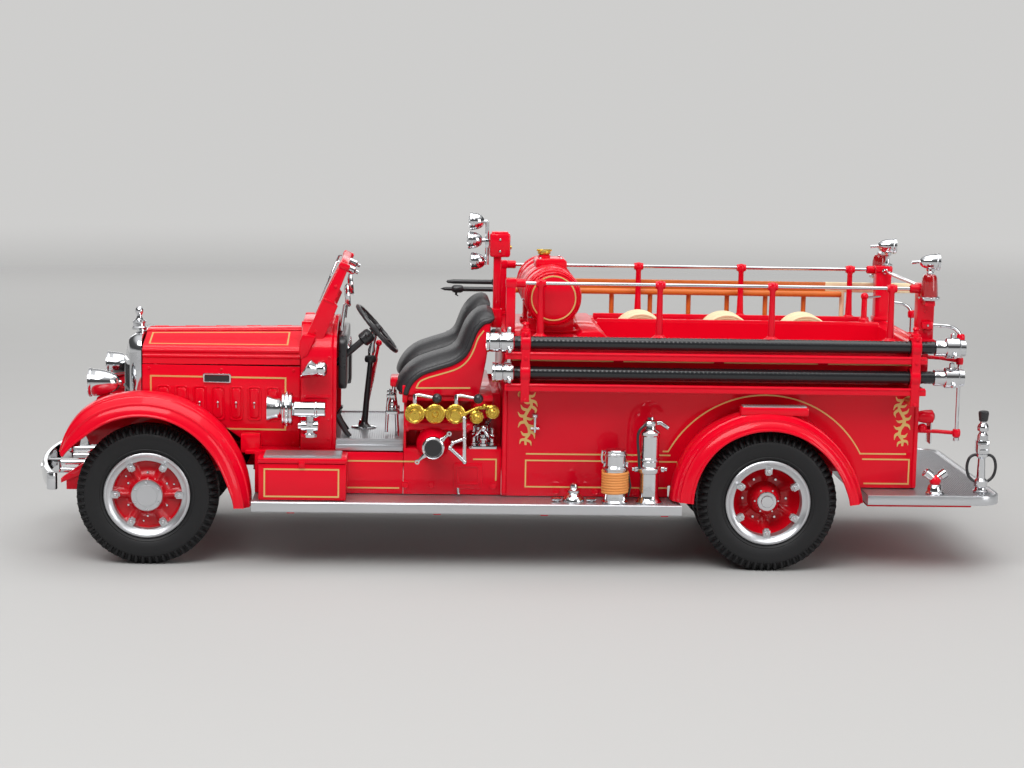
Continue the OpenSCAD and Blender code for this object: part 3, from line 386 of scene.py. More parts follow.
def rounded(low, high, r, steps=5):
    """Rounded rectangle as a loop of points."""
    (x0, y0), (x1, y1) = low, high
    return (arc((x1 - r, y1 - r), r, 0, 90, steps) + arc((x0 + r, y1 - r), r, 90, 180, steps)
        + arc((x0 + r, y0 + r), r, 180, 270, steps) + arc((x1 - r, y0 + r), r, 270, 360, steps))


def hoop(part, mat, axis, outer, inner, start, end, bevel=0.2):
    """Flat ring between two loops of equally many points, raised along an axis."""
    u, v, w = basis(axis)
    rings = [[u * a + v * b + w * t for a, b in loop]
        for loop, t in ((outer, start), (outer, end), (inner, end), (inner, start))]
    part.loft(mat, rings, closed=True, bevel=bevel)


def lookup(table, x):
    """Value of a table of (x, y) pairs at x, in straight steps."""
    for (x0, y0), (x1, y1) in zip(table, table[1:]):
        if x <= x1:
            return y0 + (y1 - y0) * (x - x0) / (x1 - x0)
    return table[-1][1]


def middle(node):
    low, high = corner(node)
    return (low + high) / 2


# ---------- wheels ----------

front_hub, rear_hub = middle("front_left_tyre"), middle("rear_left_tyres")
tyre_low, tyre_high = corner("front_left_tyre")
TYRE_HALF = (tyre_high.y - tyre_low.y) / 2
RIM_R = (corner("front_left_wheel")[1].z - corner("front_left_wheel")[0].z) / 2
AXLE_Z = front_hub.z
FRONT_X, REAR_X = front_hub.x, rear_hub.x
FRONT_Y = front_hub.y
OUTER_Y = corner("rear_left_tyres")[1].y - TYRE_HALF
INNER_Y = corner("rear_left_tyres")[0].y + TYRE_HALF
TREAD_BLOCKS, CLAMPS = 60, 6


def tyre(part, x, y):
    """Tyre with chunky shoulder blocks, two rib grooves and bead lines on its side walls."""
    half = [(RIM_R + 0.1, 3.2), (RIM_R + 0.5, 4), (RIM_R + 1.1, 4.5), (RIM_R + 1.5, 4.72), (RIM_R + 1.7, 4.6),
        (RIM_R + 2, 4.8), (16.4, 4.98), (17.5, 4.95), (18.3, 4.82), (18.5, 4.68), (18.8, 4.7), (19.5, 4.5),
        (20.2, 4.1), (20.7, 3.55), (20.95, 2.95), (20.95, 2.3), (20.3, 2.2), (20.3, 1.75), (21, 1.65),
        (21, 0.5), (20.4, 0.4), (20.4, 0)]
    profile = [(r, -t) for r, t in half] + half[-2::-1]

    def notch(k, r, t):
        if k % 4 < 2 and abs(t) > 2.6 and r > 18.7:
            return r - 1.15, t * 0.95
        return r, t

    part.lathe("tyre", profile, (x, y, AXLE_Z), "y", TREAD_BLOCKS * 4, ring=True, shape=notch)


def rim(part, x, y, turn):
    """Silver rim ring with its six clamps."""
    part.lathe("satin", [(12.2, 3.6), (12.75, 4.1), (12.8, 4.5), (12.5, 4.75), (12, 4.7), (11.5, 4.2),
        (10.9, 3.9), (10.4, 3.7), (10.2, 3.2), (10.2, -4), (12.2, -4.3)], (x, y, AXLE_Z), "y", 96, ring=True)
    for k in range(CLAMPS):
        part.put(x, y, AXLE_Z, "y", 60 * k + turn)
        part.box("satin", (8.5, 2, -1.1), (10.7, 4, 1.1), 0.25)
        part.box("satin", (8.1, 2, -0.7), (8.7, 3.3, 0.7), 0.15)
        part.bolt("chrome", (9.4, 3.9, 0), "y", 0.6, 0.75)
    part.put()


def spokes(turn, rise, inner, outer):
    """Shape for a stamped disc: six ridges that fade in at the hub and out at the rim."""
    def shape(k, r, t):
        a = tau * k / 144 + radians(turn)
        ridge = max(0, cos(6 * a)) ** 2.2
        fade = max(0, min(1, (r - inner) / 1.5)) * max(0, min(1, (outer - r) / 1))
        return r, t + rise * ridge * fade
    return shape


def thick(skin, depth):
    """Closed section of a sheet whose back lies a depth behind its face."""
    return skin + [(r, t - depth) for r, t in reversed(skin)]


def front_wheel(part):
    c = (FRONT_X, FRONT_Y, AXLE_Z)
    rim(part, FRONT_X, FRONT_Y, 0)
    skin = [(10.4, 1.9), (9.6, 1.2), (8.6, 1.15), (7.4, 1.35), (6.4, 1.8), (5.6, 2.5), (5.1, 3.2), (4.9, 4),
        (4.5, 4.3)]
    # the disc's darker red is painted shade for its recess, not a paint of its own
    part.lathe("disc", thick(skin, 1), c, "y", 144, ring=True, shape=spokes(0, 1.5, 5, 10.6))
    part.lathe("satin", [(4.75, 3.4), (4.75, 4.5), (4.55, 4.85), (4.2, 4.95), (3.2, 5), (3.1, 5.12),
        (0, 5.2)], c, "y", 60)
    part.lathe("satin", [(3.4, -4.4), (3.4, -1.2), (4.6, -0.8), (4.6, 0.4), (2.2, 0.4), (2.2, -4.4)], c, "y",
        40, ring=True)
    for k in range(CLAMPS):
        part.put(*c, "y", 60 * k + 30)
        part.bolt("chrome", (4, 4.9, 0), "y", 0.42, 0.45)
        part.bolt("chrome", (6.6, 1.7, 0), "y", 0.42, 0.6)
        if k % 2:
            part.bolt("chrome", (8.2, 1.1, 1.3), "y", 0.36, 0.5)
    part.put()


def rear_wheel(part):
    for y in (OUTER_Y, INNER_Y):
        rim(part, REAR_X, y, 30)
    c = (REAR_X, OUTER_Y, AXLE_Z)
    skin = [(10.4, 0.6), (9.4, -1.2), (8.6, -3), (7.6, -4), (6.4, -4.3), (5.2, -4.2), (4.7, -3.4), (4.4, -2),
        (4.2, -0.6), (3.8, 0.6), (3.2, 1.2), (2.9, 1.5)]
    # the disc's darker red is painted shade for its recess, not a paint of its own
    part.lathe("disc", thick(skin, 0.9), c, "y", 144, ring=True, shape=spokes(30, 1.3, 5.2, 9.6))
    part.lathe("chrome", [(2.95, 1.2), (2.95, 2.1), (2.75, 2.35), (1.9, 2.45), (1.7, 2.75), (0, 2.9)], c, "y",
        48)
    part.lathe("red", [(4.4, -6.6), (4.4, -5.2), (2.2, -5.2), (2.2, -6.6)], c, "y", 40, ring=True)
    for k in range(CLAMPS):
        part.put(*c, "y", 60 * k)
        part.bolt("chrome", (3.55, 0.75, 0), "y", 0.36, 0.5)
        part.bolt("chrome", (6.6, -4.2, 0), "y", 0.5, 0.7)
    c = (REAR_X, INNER_Y, AXLE_Z)
    part.put()
    skin = [(10.4, 3.4), (9.2, 4.4), (7.6, 5.2), (4.6, 5.6), (4.2, 5.4), (4.2, 6.7), (2.2, 6.7)]
    part.lathe("red", skin + [(2.2, -3.4), (3.6, -3.4), (3.6, 4), (9.2, 3.2), (10.4, 2.4)], c, "y", 72,
        ring=True)


for side, mirrored in (("left", False), ("right", True)):
    part = Part(f"front_{side}_tyre_tread")
    tyre(part, FRONT_X, FRONT_Y)
    part.make(f"front_{side}_tyre", body=f"front_{side}_road_wheel", mirrored=mirrored)
    part = Part(f"front_{side}_wheel_disc")
    front_wheel(part)
    part.make(f"front_{side}_wheel", body=f"front_{side}_road_wheel", slot="red_paint", mirrored=mirrored)
    part = Part(f"rear_{side}_tyres_tread")
    tyre(part, REAR_X, OUTER_Y)
    tyre(part, REAR_X, INNER_Y)
    part.make(f"rear_{side}_tyres", body=f"rear_{side}_road_wheels", mirrored=mirrored)
    part = Part(f"rear_{side}_wheel_discs")
    rear_wheel(part)
    part.make(f"rear_{side}_wheel", body=f"rear_{side}_road_wheels", slot="red_paint", mirrored=mirrored)

# ---------- fenders ----------

EDGE_Y = corner("front_fenders")[1].y
CROWN_Y = 36
# Points where each fender bends, as (angle from the axle, radius)
FRONT_CROWN = [(27, 28.4), (34, 30), (45, 31.4), (58, 32), (72, 31.3), (90, 30.6), (120, 30.1), (150, 30),
    (172, 30.4), (186, 31)]
FRONT_LIP = [(27, 27.2), (45, 25.3), (65, 25), (85, 24.5), (105, 24.1), (125, 23.7), (145, 23.6), (165, 24),
    (178, 25.2), (186, 26.6)]
REAR_CROWN = [(0, 29.2), (18, 28.9), (34, 29), (48, 28.7), (62, 28.2), (90, 27.6), (118, 27.1), (135, 27),
    (151, 27.4), (167, 28.4), (180, 29.4)]
REAR_LIP = [(0, 22.9), (15, 22.8), (50, 22.8), (70, 22.4), (95, 22.2), (130, 22.2), (147, 22.5), (162, 23.1),
    (174, 23.9), (180, 24.6)]


def smooth(table, x, reach=6):
    """Table value averaged over a reach, so that straight steps become a curve."""
    return sum(lookup(table, min(max(x + reach * k / 3, table[0][0]), table[-1][0]))
        for k in range(-3, 4)) / 7


def fender(part, centre, crown, lip, inner_y, drop, first, last, ridge):
    """Fender skin with two pressed ridges, the first at a share of the roll, and a rolled lip."""
    roll, skin = EDGE_Y - CROWN_Y - 0.1, 1
    ridge_height, ridge_width, second, step = 0.38, 0.03, 0.3, 0.4
    rings, edge = [], []
    steps = 60
    for i in range(steps + 1):
        a = first + (last - first) * i / steps
        c, l = smooth(crown, a), smooth(lip, a)
        outer = [(inner_y + (CROWN_Y - inner_y) * s, c - drop * (1 - s) ** 1.6)
            for s in (0, 0.2, 0.4, 0.6, 0.8)]
        for k in range(46):
            q = radians(2 * k)
            bump = sum(ridge_height * exp(-((k / 45 - at) / ridge_width) ** 2)
                for at in (ridge, ridge + second))
            dip = step * min(1, max(0, (k / 45 - ridge - 0.02) / 0.06))
            outer.append((CROWN_Y + (roll - dip) * sin(q) + bump * sin(q), c - (c - l) * (1 - cos(q))
                + bump * cos(q)))
        inner = [(CROWN_Y + (roll - skin) * sin(radians(q)),
            c - skin - (c - skin - l) * (1 - cos(radians(q)))) for q in range(90, -1, -10)]
        inner += [(inner_y + (CROWN_Y - inner_y) * s, c - skin - drop * (1 - s) ** 1.6) for s in (0.5, 0)]
        ca, sa = cos(radians(a)), sin(radians(a))
        rings.append([(centre + r * ca, y, AXLE_Z + r * sa) for y, r in outer + inner])
        edge.append((centre + (l + 0.25) * ca, EDGE_Y - 0.5, AXLE_Z + (l + 0.25) * sa))
    part.loft("red", rings)
    part.tube("red", edge, 0.45, 8)


part = Part("front_fender_panels")
fender(part, FRONT_X, FRONT_CROWN, FRONT_LIP, 21.6, 2.6, 27, 186, 0.34)
# splash apron between the fender and the hood
apron = [(FRONT_X + r * cos(radians(a)), AXLE_Z + r * sin(radians(a)))
    for a, r in [(a, smooth(FRONT_CROWN, a) - 3) for a in range(38, 178, 7)]]
part.prism("red", "y", [(129.5, 33)] + apron + [(80, 32.5)], 20.9, 21.6, 0.1)
for a in range(40, 170, 26):
    r = smooth(FRONT_CROWN, a) - 4.6
    part.bolt("red", (FRONT_X + r * cos(radians(a)), 21.6, AXLE_Z + r * sin(radians(a))), "y", 0.5, 0.3)
part.mirror().make("front_fenders")

part = Part("rear_fender_panels")
fender(part, REAR_X, REAR_CROWN, REAR_LIP, 32.05, 0.5, 0, 180, 0.32)
step_low, step_high = (-86.8, 36.4, 47.2), (-66.3, 41.2, 49.7)
part.box("red", step_low, step_high, 0.5)
part.box("tread", (-86.2, 36.9, 49.6), (-66.9, 40.7, 50), 0.12)
for k in range(22):
    part.box("tread", (-85.7 + 0.86 * k, 37.3, 49.9), (-85.3 + 0.86 * k, 40.3, 50.15), 0)
part.mirror().make("rear_fenders")

# ---------- hood ----------

hood_low, hood_high = corner("hood_left")
HOOD_REAR, HOOD_FRONT = hood_low.x - 0.1, hood_high.x + 0.1
HINGE_Y, HINGE_REAR_Z, HINGE_FRONT_Z = 5, 66.9, 66.1
SIDE_REAR_Y, SIDE_FRONT_Y = 21, 19
SPLIT_Z = 57.5
PANEL_SLOPE = (HINGE_REAR_Z - SPLIT_Z - 6.1) / (SIDE_REAR_Y - 1.2 - HINGE_Y)


def hinge_z(x):
    return HINGE_REAR_Z + (HINGE_FRONT_Z - HINGE_REAR_Z) * (x - HOOD_REAR) / (HOOD_FRONT - HOOD_REAR)


def hood_side_y(x):
    return SIDE_REAR_Y + (SIDE_FRONT_Y - SIDE_REAR_Y) * (x - HOOD_REAR) / (HOOD_FRONT - HOOD_REAR)


def lid_top(x, y, h=0):
    """Point of a lid's sloping panel, raised by h."""
    return (x, y + h * 0.217, hinge_z(x) - PANEL_SLOPE * (y - HINGE_Y) + h * 0.976)


def lid_ring(x):
    edge_y = hood_side_y(x) - 1.2
    edge_z = lid_top(x, edge_y)[2]
    beads = [(0.3, -0.15), (0.5, -0.5)] + arc((0.35, -1.45), 0.8, 62, -62, 7) + arc((0.4, -3.15), 0.72, 62,
        -62, 7)
    beads += [(0.72, -4.1), (0.8, -4.5), (0.8, -5.5), (0.7, -5.6), (-0.3, -5.6), (-0.3, -2.2), (-1.2, -1)]
    top = [(x, HINGE_Y + 0.5, hinge_z(x) - 0.35), (x, HINGE_Y + 0.75, hinge_z(x) - 0.1)]
    top += [lid_top(x, HINGE_Y + 1.1 + (edge_y - HINGE_Y - 1.3) * s) for s in (0, 0.5, 1)]
    return top + [(x, edge_y + a, edge_z + b) for a, b in beads] + [(x, HINGE_Y + 0.5, hinge_z(x) - 1.2)]


def hood_lid(name, body, mirrored):
    part = Part(name)
    part.loft("red", [lid_ring(x) for x in (HOOD_REAR + 0.1, HOOD_REAR + 0.25, HOOD_FRONT - 0.25,
        HOOD_FRONT - 0.1)])
    inset = [(70, HINGE_Y + 1.9), (112, HINGE_Y + 1.7), (112, hood_side_y(112) - 2.6),
        (70, hood_side_y(70) - 2.6)]
    part.stripe("gold", inset, 0.5, lid_top, closed=True)
    for k in range(5):
        x = 70 + 9.6 * k
        part.lathe("red", [(0, 0), (0.42, 0), (0.42, 4.4), (0, 4.4)], (x, HINGE_Y, hinge_z(x) + 0.1),
            (HOOD_FRONT - HOOD_REAR, 0, HINGE_FRONT_Z - HINGE_REAR_Z), 12)
    part.make(body, body=body, slot="red_paint", mirrored=mirrored)


hood_lid("hood_left_lid", "hood_left", False)
hood_lid("hood_right_lid", "hood_right", True)


def centre_ring(x):
    z, half = hinge_z(x), HINGE_Y - 0.45
    crest = 0.75 - 0.3 * (x - HOOD_REAR) / (HOOD_FRONT - HOOD_REAR)
    top = [(-half + 2 * half * s / 8, crest * (1 - (2 * s / 8 - 1) ** 2)) for s in range(9)]
    return [(x, y, z + h) for y, h in top] + [(x, half, z - 1.2), (x, -half, z - 1.2)]


part = Part("hood_side_panels")
LENGTH = HOOD_FRONT - HOOD_REAR
lean = degrees(atan2(SIDE_FRONT_Y - SIDE_REAR_Y, LENGTH))
side = Part("side")
side.put(HOOD_REAR, SIDE_REAR_Y, 0, "z", lean)
side.box("red", (0, -1.1, 32.2), (LENGTH, 0, SPLIT_Z), 0.15)


def on_side(a, b, h):
    return (a, h, b)


FIRST_DOOR, DOOR_PITCH, DOORS = 8.3, 5.55, 7
# half width, growth in height and rise of each step of a door's pressed frame
door = ((2.15, 0.25, -0.1), (2.15, 0.25, 0.1), (2, 0.1, 0.3), (1.75, -0.1, 0.3), (1.6, -0.25, 0.05),
    (1.45, -0.4, 0.05), (1.2, -0.6, 0.35), (1, -0.8, 0.42))
for x in [FIRST_DOOR + DOOR_PITCH * k for k in range(DOORS)]:
    side.loft("red", [[(a, h, b) for a, b in rounded((x - w, 41 - g), (x + w, 51 + g), 0.9)]
        for w, g, h in door])
    side.ball("satin", (x, 0.5, 46.2), 0.42, 12)
    side.box("satin", (x - 0.15, 0.3, 44.6), (x + 0.15, 0.6, 45.6), 0.05)
side.stripe("gold", [(4.4, 38.1), (45.4, 38.1), (45.4, 54), (4.4, 54)], 0.5, on_side, closed=True)
hoop(side, "chrome", "y", rounded((21, 52.2), (29.5, 55.1), 0.5), rounded((21.5, 52.7), (29, 54.6), 0.3), 0,
    0.5, 0.1)
side.prism("black", "y", rounded((21.4, 52.6), (29.1, 54.7), 0.3), 0, 0.25, 0)
for x in (2, 24, 46):
    for z in (34, 56.4):
        side.bolt("red", (x, 0, z), "y", 0.4, 0.25, 12)
part.join(side)
rod = [(HOOD_REAR - 0.5, HINGE_Y, HINGE_REAR_Z + 0.1), (HOOD_FRONT + 0.2, HINGE_Y, HINGE_FRONT_Z + 0.1)]
part.tube("red", rod, 0.27)
part.mirror()
part.loft("red", [centre_ring(x) for x in (HOOD_REAR - 0.3, HOOD_REAR, HOOD_FRONT - 0.1, HOOD_FRONT + 0.2)])
part.make("hood_sides", slot="red_paint")

# ---------- radiator, bumper and lamps ----------

SHELL_LOW, SHELL_HIGH = corner("radiator_shell")


def shell_loop(inset, r):
    half = SHELL_HIGH.y - inset
    return rounded((-half, SHELL_LOW.z + inset), (half, 66.2 - inset), r, 8)


def shell_sweep(x, y):
    """How far the shell's front is swept back at y, fading out at its rear edge."""
    return 2.2 * (y / SHELL_HIGH.y) ** 2 * min(1, (x - 114.3) / 4)


part = Part("radiator_surround")
rings = [[(x - shell_sweep(x, y), y, z) for y, z in shell_loop(inset, r)]
    for x, inset, r in ((114.3, 0, 5), (116.5, 0, 5), (118, 0.3, 4.9), (119.2, 1, 4.6), (119.8, 1.9, 4.2),
    (119.7, 2.5, 3.8), (119.2, 2.9, 3.5), (118, 3, 3.4), (114.3, 3, 3.4))]
part.loft("chrome", rings, closed=True)
# top tank with its lip
part.loft("chrome", [[(x, y, z) for x, y in ((115.5, -15.8), (nose - 3, -15.8), (nose - 2.2, -13),
    (nose - 0.9, -7), (nose, 0), (nose - 0.9, 7), (nose - 2.2, 13), (nose - 3, 15.8), (115.5, 15.8))]
    for z, nose in ((56.9, 121.4), (57, 121.8), (57.5, 122), (58.2, 121.8), (58.5, 121.2), (60.4, 121),
    (62.2, 120.3), (63.4, 119.3), (63.8, 118.6))])
part.lathe("chrome", [(0, 65.9), (2.3, 66), (2.3, 66.7), (2, 67), (1.9, 67.9), (2.1, 68.1), (2.1, 68.6),
    (1.3, 69), (0.9, 69.7), (0.85, 70.6), (1.2, 71.1), (1.35, 71.8), (1.1, 72.6), (0.55, 73.1), (0, 73.2)],
    (117, 0, 0), "z", 32)
part.make("radiator_shell")

part = Part("radiator_core")
part.prism("black", "x", rounded((-15.4, 39.2), (15.4, 63.2), 3.3), 115, 116.6, 0.1)
GRILLE_SIDE_X, GRILLE_NOSE_X = 118, 121.6
for k in range(-15, 16):
    y = k * 0.98
    x = GRILLE_NOSE_X - (GRILLE_NOSE_X - GRILLE_SIDE_X) * abs(k) / 15
    part.box("chrome" if k == 0 else "black", (x - 1.2, y - 0.24, 39.4), (x, y + 0.24, 57.4), 0.08)
for z in (39.3, 48.2, 56.6):
    part.prism("black", "z", [(118.1, -15.2), (122.1, 0), (118.1, 15.2), (117, 15.2), (120.8, 0),
        (117, -15.2)], z, z + 0.6, 0.08)
part.make("radiator_grille")

part = Part("bumper_bar")
BEND_R, BEND, BAR_Z0, BAR_Z1 = 120, 19.4, 22.4, 27.7
IRON_Y, CURL = 13.05, (138.2, 39.5)
loop = arc(CURL, 1.6, -70, 180, 14) + arc(CURL, 0.9, 180, -70, 14)
part.prism("chrome", "z", loop, BAR_Z0 + 0.15, BAR_Z1 - 0.15, 0.15)
for z in (23.6, 26):
    part.tube("chrome", [(126, IRON_Y, z), (143.6, IRON_Y, z)], 0.95, 16)
part.box("chrome", (139.6, IRON_Y - 1.6, 22.9), (143.9, IRON_Y + 1.6, 27.1), 0.5)
part.bolt("chrome", (145.2, IRON_Y, 24.9), "x", 0.8, 0.6)
part.mirror()
face = [(-1.6, 0.15), (-0.7, 0.05), (-0.25, 0.35), (-0.1, 0.9), (0, 1.8), (0, 3.5), (-0.1, 4.4),
    (-0.25, 4.95), (-0.7, 5.25), (-1.6, 5.15), (-1.25, 4.5), (-1.25, 0.8)]
bends = arc((0, 0), 1, -BEND, BEND, 48)
part.loft("chrome", [[(146 - BEND_R + (BEND_R + o) * a, (BEND_R + o) * b, BAR_Z0 + h) for o, h in face]
    for a, b in bends])
part.make("front_bumper")


def lamp(part, centre, r, depth, facing=1):
    """Bullet lamp with a rolled rim, a domed lens and a reflector; facing is +1 forward, -1 to the rear."""
    part.put(*centre, "z", 0 if facing > 0 else 180)
    body = [(0, -depth - 0.7), (r * 0.16, -depth - 0.6), (r * 0.2, -depth)]
    body += [(r * 0.97 * sin(radians(a)) ** 0.85, -0.8 - (depth - 0.6) * cos(radians(a)))
        for a in range(14, 90, 8)]
    body += [(r * 0.94, -0.9), (r, -0.85), (r * 1.02, -0.5), (r, -0.05), (r * 0.93, 0.02), (r * 0.9, -0.3),
        (0, -0.35)]
    part.lathe("chrome", body, (0, 0, 0), "x", 48)
    part.lathe("glass", [(r * 0.9, -0.25), (r * 0.86, 0.02), (r * 0.6, 0.28), (r * 0.3, 0.4), (0, 0.44)],
        (0, 0, 0), "x", 48)
    part.put()


HEAD_LAMP, COWL_LAMP = (129.8, 20.9, 52), (62.8, 28.2, 57.9)
part = Part("lamps_front")
lamp(part, HEAD_LAMP, 4.3, 9.2)
part.prism("red", "y", [(121.6, 46), (127.6, 44.4), (127.4, 47.6), (124.8, 48.6), (122.6, 48.6)], 19.5, 22.3,
    0.5)
part.tube("red", [(124.6, 20.9, 44.5), (124.8, 20.9, 48.2)], 1, 16)
x, y, z = COWL_LAMP


def slanted(k, r, t):
    """Leans a cowl lamp's mouth so that its lower lip reaches furthest forward."""
    return r, t - 0.6 * r * sin(tau * k / 40) * min(1, max(0, (t + 1.5) / 2.6))


part.lathe("chrome", [(0, 1.3), (2.3, 1.4), (2.8, 1.5), (2.95, 1.2), (2.85, 0.7), (2.4, -0.9), (1.8, -1.9),
    (1.65, -2.3), (2.25, -2.6), (2.4, -3.2), (2.4, -4.1), (2.15, -4.7), (1.5, -5.2), (0, -5.4)], (x, y, z),
    "x", 40, shape=slanted)
part.lathe("glass", [(2.3, 1.35), (1.4, 1.7), (0, 1.85)], (x, y, z), "x", 40, shape=slanted)
part.tube("red", [(60.4, 24.9, 56), (60.6, 26.8, 56.2), (61.4, 28, 56.8)], 0.8)
part.mirror().make("front_lamps")

part = Part("siren_body")
SIREN_Y, SIREN_Z = 32, 46.2
part.lathe("chrome", [(0, 57.7), (2.1, 57.75), (2.4, 58), (2.45, 60.2), (2.7, 60.4), (2.7, 60.9),
    (2.45, 61.1), (2.45, 67), (3.1, 67.4), (4.6, 67.6), (4.95, 67.9), (5.05, 68.4), (4.8, 68.7), (5.05, 69),
    (5.05, 69.8), (4.8, 70.1), (4.9, 70.6), (4.5, 71), (3.5, 71.3), (3.2, 71.8), (3.2, 72.6), (3.45, 73.4),
    (3.9, 74.5), (4.1, 75.2), (3.8, 75.2), (3.1, 74), (2.4, 73.2), (0, 73)], (0, SIREN_Y, SIREN_Z), "x", 56)
for dy, dz in around(24, 4.95):
    part.ball("chrome", (69.4, SIREN_Y + dy, SIREN_Z + dz), 0.32, 8)
part.lathe("chrome", [(0, -8.4), (2.2, -8.3), (2.2, -7.4), (1.6, -7), (1.5, -5.2), (1.9, -4.8), (1.9, -3.9),
    (1.4, -3.6), (1.3, -2)], (62.4, SIREN_Y, SIREN_Z), "z", 32)
part.tube("chrome", [(60, SIREN_Y, 41.2), (65, SIREN_Y, 41.2)], 1.7, 24)
part.tube("chrome", [(65, SIREN_Y, 41.2), (65.9, SIREN_Y, 41.2)], 1.1, 24)
part.box("red", (60.9, 24.95, 37.9), (64.9, SIREN_Y + 1.2, 38.9), 0.25)
part.make("siren")

# ---------- cowl and windshield ----------

CAB_FRONT, COWL_REAR, SILL_TOP = 65.4, 54.8, 33
cowl_half = [(24.9, SILL_TOP), (24.9, 57), (24.85, 60.2), (24.5, 62.8), (23.8, 65), (22.4, 67), (19.6, 68.5),
    (15.8, 69.6), (12, 70.3), (6, 70.9), (0, 71.1)]


def cowl_loop(inset, low):
    """Cowl outline in (y, z), moved inward by an inset."""
    half = [(y - inset, max(low, z - (inset if z > 57 else 0))) for y, z in cowl_half]
    half[-1] = (0, half[-1][1])
    return half + [(-y, z) for y, z in reversed(half[:-1])]


part = Part("cowl_body")
sections = [(CAB_FRONT + 0.35, 3.4), (CAB_FRONT + 0.3, 0.5), (CAB_FRONT, 0), (COWL_REAR + 1.6, 0),
    (COWL_REAR + 1.2, 0.25), (COWL_REAR + 0.9, 0), (COWL_REAR + 0.1, 0), (COWL_REAR, 0.2), (COWL_REAR, 1.2),
    (COWL_REAR + 0.3, 1.5), (CAB_FRONT - 1.6, 1.5), (CAB_FRONT - 1.5, 3.4)]
part.loft("red", [[(x, y, z) for y, z in cowl_loop(i, SILL_TOP)] for x, i in sections], closed=True)
part.prism("red", "x", [(-21.6, SILL_TOP), (21.6, SILL_TOP), (21.6, 66), (0, 67.8), (-21.6, 66)],
    CAB_FRONT - 1.4, CAB_FRONT + 0.2, 0)
# seam plate at the hood's rear corners, and rivets round the cowl's edge
trim = Part("cowl_trim")
trim.box("red", (63, 11.4, 67.6), (65.95, 13.8, 70.6), 0.3)
for z in (36, 42, 48.5, 61):
    trim.bolt("red", (57, 24.85, z), (0, 1, 0), 0.4, 0.22, 12)
trim.box("red", (56.4, 24.75, 48.6), (64.2, 25.25, 49.4), 0.15)
part.join(trim.mirror())
# instrument panel
part.prism("black", "x", rounded((-20.5, 50.5), (20.5, 67), 3.2), COWL_REAR - 2.9, COWL_REAR - 0.4, 0.5)
part.prism("black", "x", rounded((-18.8, 48.5), (-6, 61.5), 2.5), COWL_REAR - 3.6, COWL_REAR - 1.2, 0.5)
for y, r in ((-12, 2.1), (-6.5, 1.5), (-2, 1.5), (2.5, 1.5), (8, 2.1)):
    part.lathe("chrome", [(r, 0), (r, 0.4), (r * 0.86, 0.55), (r * 0.78, 0.3), (0, 0.3)],
        (COWL_REAR - 2.9, y, 61.4), (-1, 0, 0), 32)
part.make("cowl")

LEAN, FOOT = 23.6, (64.6, 0, 66.8)
part = Part("windshield_posts")
part.put(*FOOT, "y", -LEAN)
part.prism("red", "y", [(-5.4, -1), (-0.2, -1.6), (-0.3, 13), (-0.8, 24.8), (-3.5, 24.8), (-3.9, 13.4),
    (-5.3, 12.8)], 20.3, 22.8, 0.35)
part.box("red", (-4, 20.1, 12.7), (-0.4, 23, 13.4), 0.2)
part.box("red", (-3.9, 20, 23.6), (-0.4, 23.1, 25.6), 0.6)
# wiper on the front and its motor behind the top rail
part.tube("chrome", [(-0.2, 12, 24.4), (0.5, 12, 24), (0.5, 13.5, 18)], 0.3, 10)
part.box("chrome", (0.2, 13.25, 10.5), (0.6, 13.75, 19.5), 0.1)
part.lathe("chrome", [(0, 0), (1.2, 0.1), (1.25, 2.6), (1, 2.9), (0.6, 3.1), (0.55, 4), (0, 4.1)],
    (-2.9, 12, 23.7), (-1, 0, 0), 24)
for z in (3, 18):
    part.bolt("red", (-2.2, 22.8, z), (0, 1, 0), 0.5, 0.25, 12)
part.put()
part.prism("red", "y", [(65.6, 60.2), (66.2, 62.8), (66, 66), (65, 68.2), (61.2, 67.2), (63.6, 61.6)], 22.6,
    25.1, 0.4)
# round mirror on a stalk
part.tube("chrome", [(53.6, 18, 68.6), (53.2, 18, 72.6), (52.6, 18, 76.6)], 0.6)
part.lathe("chrome", [(0, -0.9), (2.2, -0.8), (3.4, -0.3), (3.7, 0.3), (3.5, 0.7), (3.2, 0.4), (0, 0.3)],
    (51.9, 18, 79.4), (-1, 0, 0.12), 40)
part.mirror()
part.put(*FOOT, "y", -LEAN)
part.box("red", (-3.1, -22.4, 22.4), (-0.6, 22.4, 25.6), 0.5)
part.box("red", (-3, -20.5, 4.5), (-0.6, 20.5, 6.4), 0.35)
part.box("red", (-3, -0.9, 6), (-0.6, 0.9, 23), 0.3)
part.make("windshield_frame")

part = Part("windshield_panes")
part.put(*FOOT, "y", -LEAN)
part.box("glass", (-2.1, 0.95, 6.5), (-1.5, 20.35, 22.4), 0.1)
part.mirror().make("windshield_glass")

# ---------- running boards, toolboxes, step and cab floor ----------

BOARD_REAR, BOARD_FRONT, BOARD_TOP = -48.9, 79, 20.4


def ribs(part, x0, x1, y0, y1, z, pitch=0.62, width=0.3, mat="tread"):
    """Field of fine raised ribs that run across."""
    for k in range(int((x1 - x0) / pitch) + 1):
        x = x0 + pitch * k
        part.box(mat, (x, y0, z), (min(x + width, x1), y1, z + 0.22), 0)


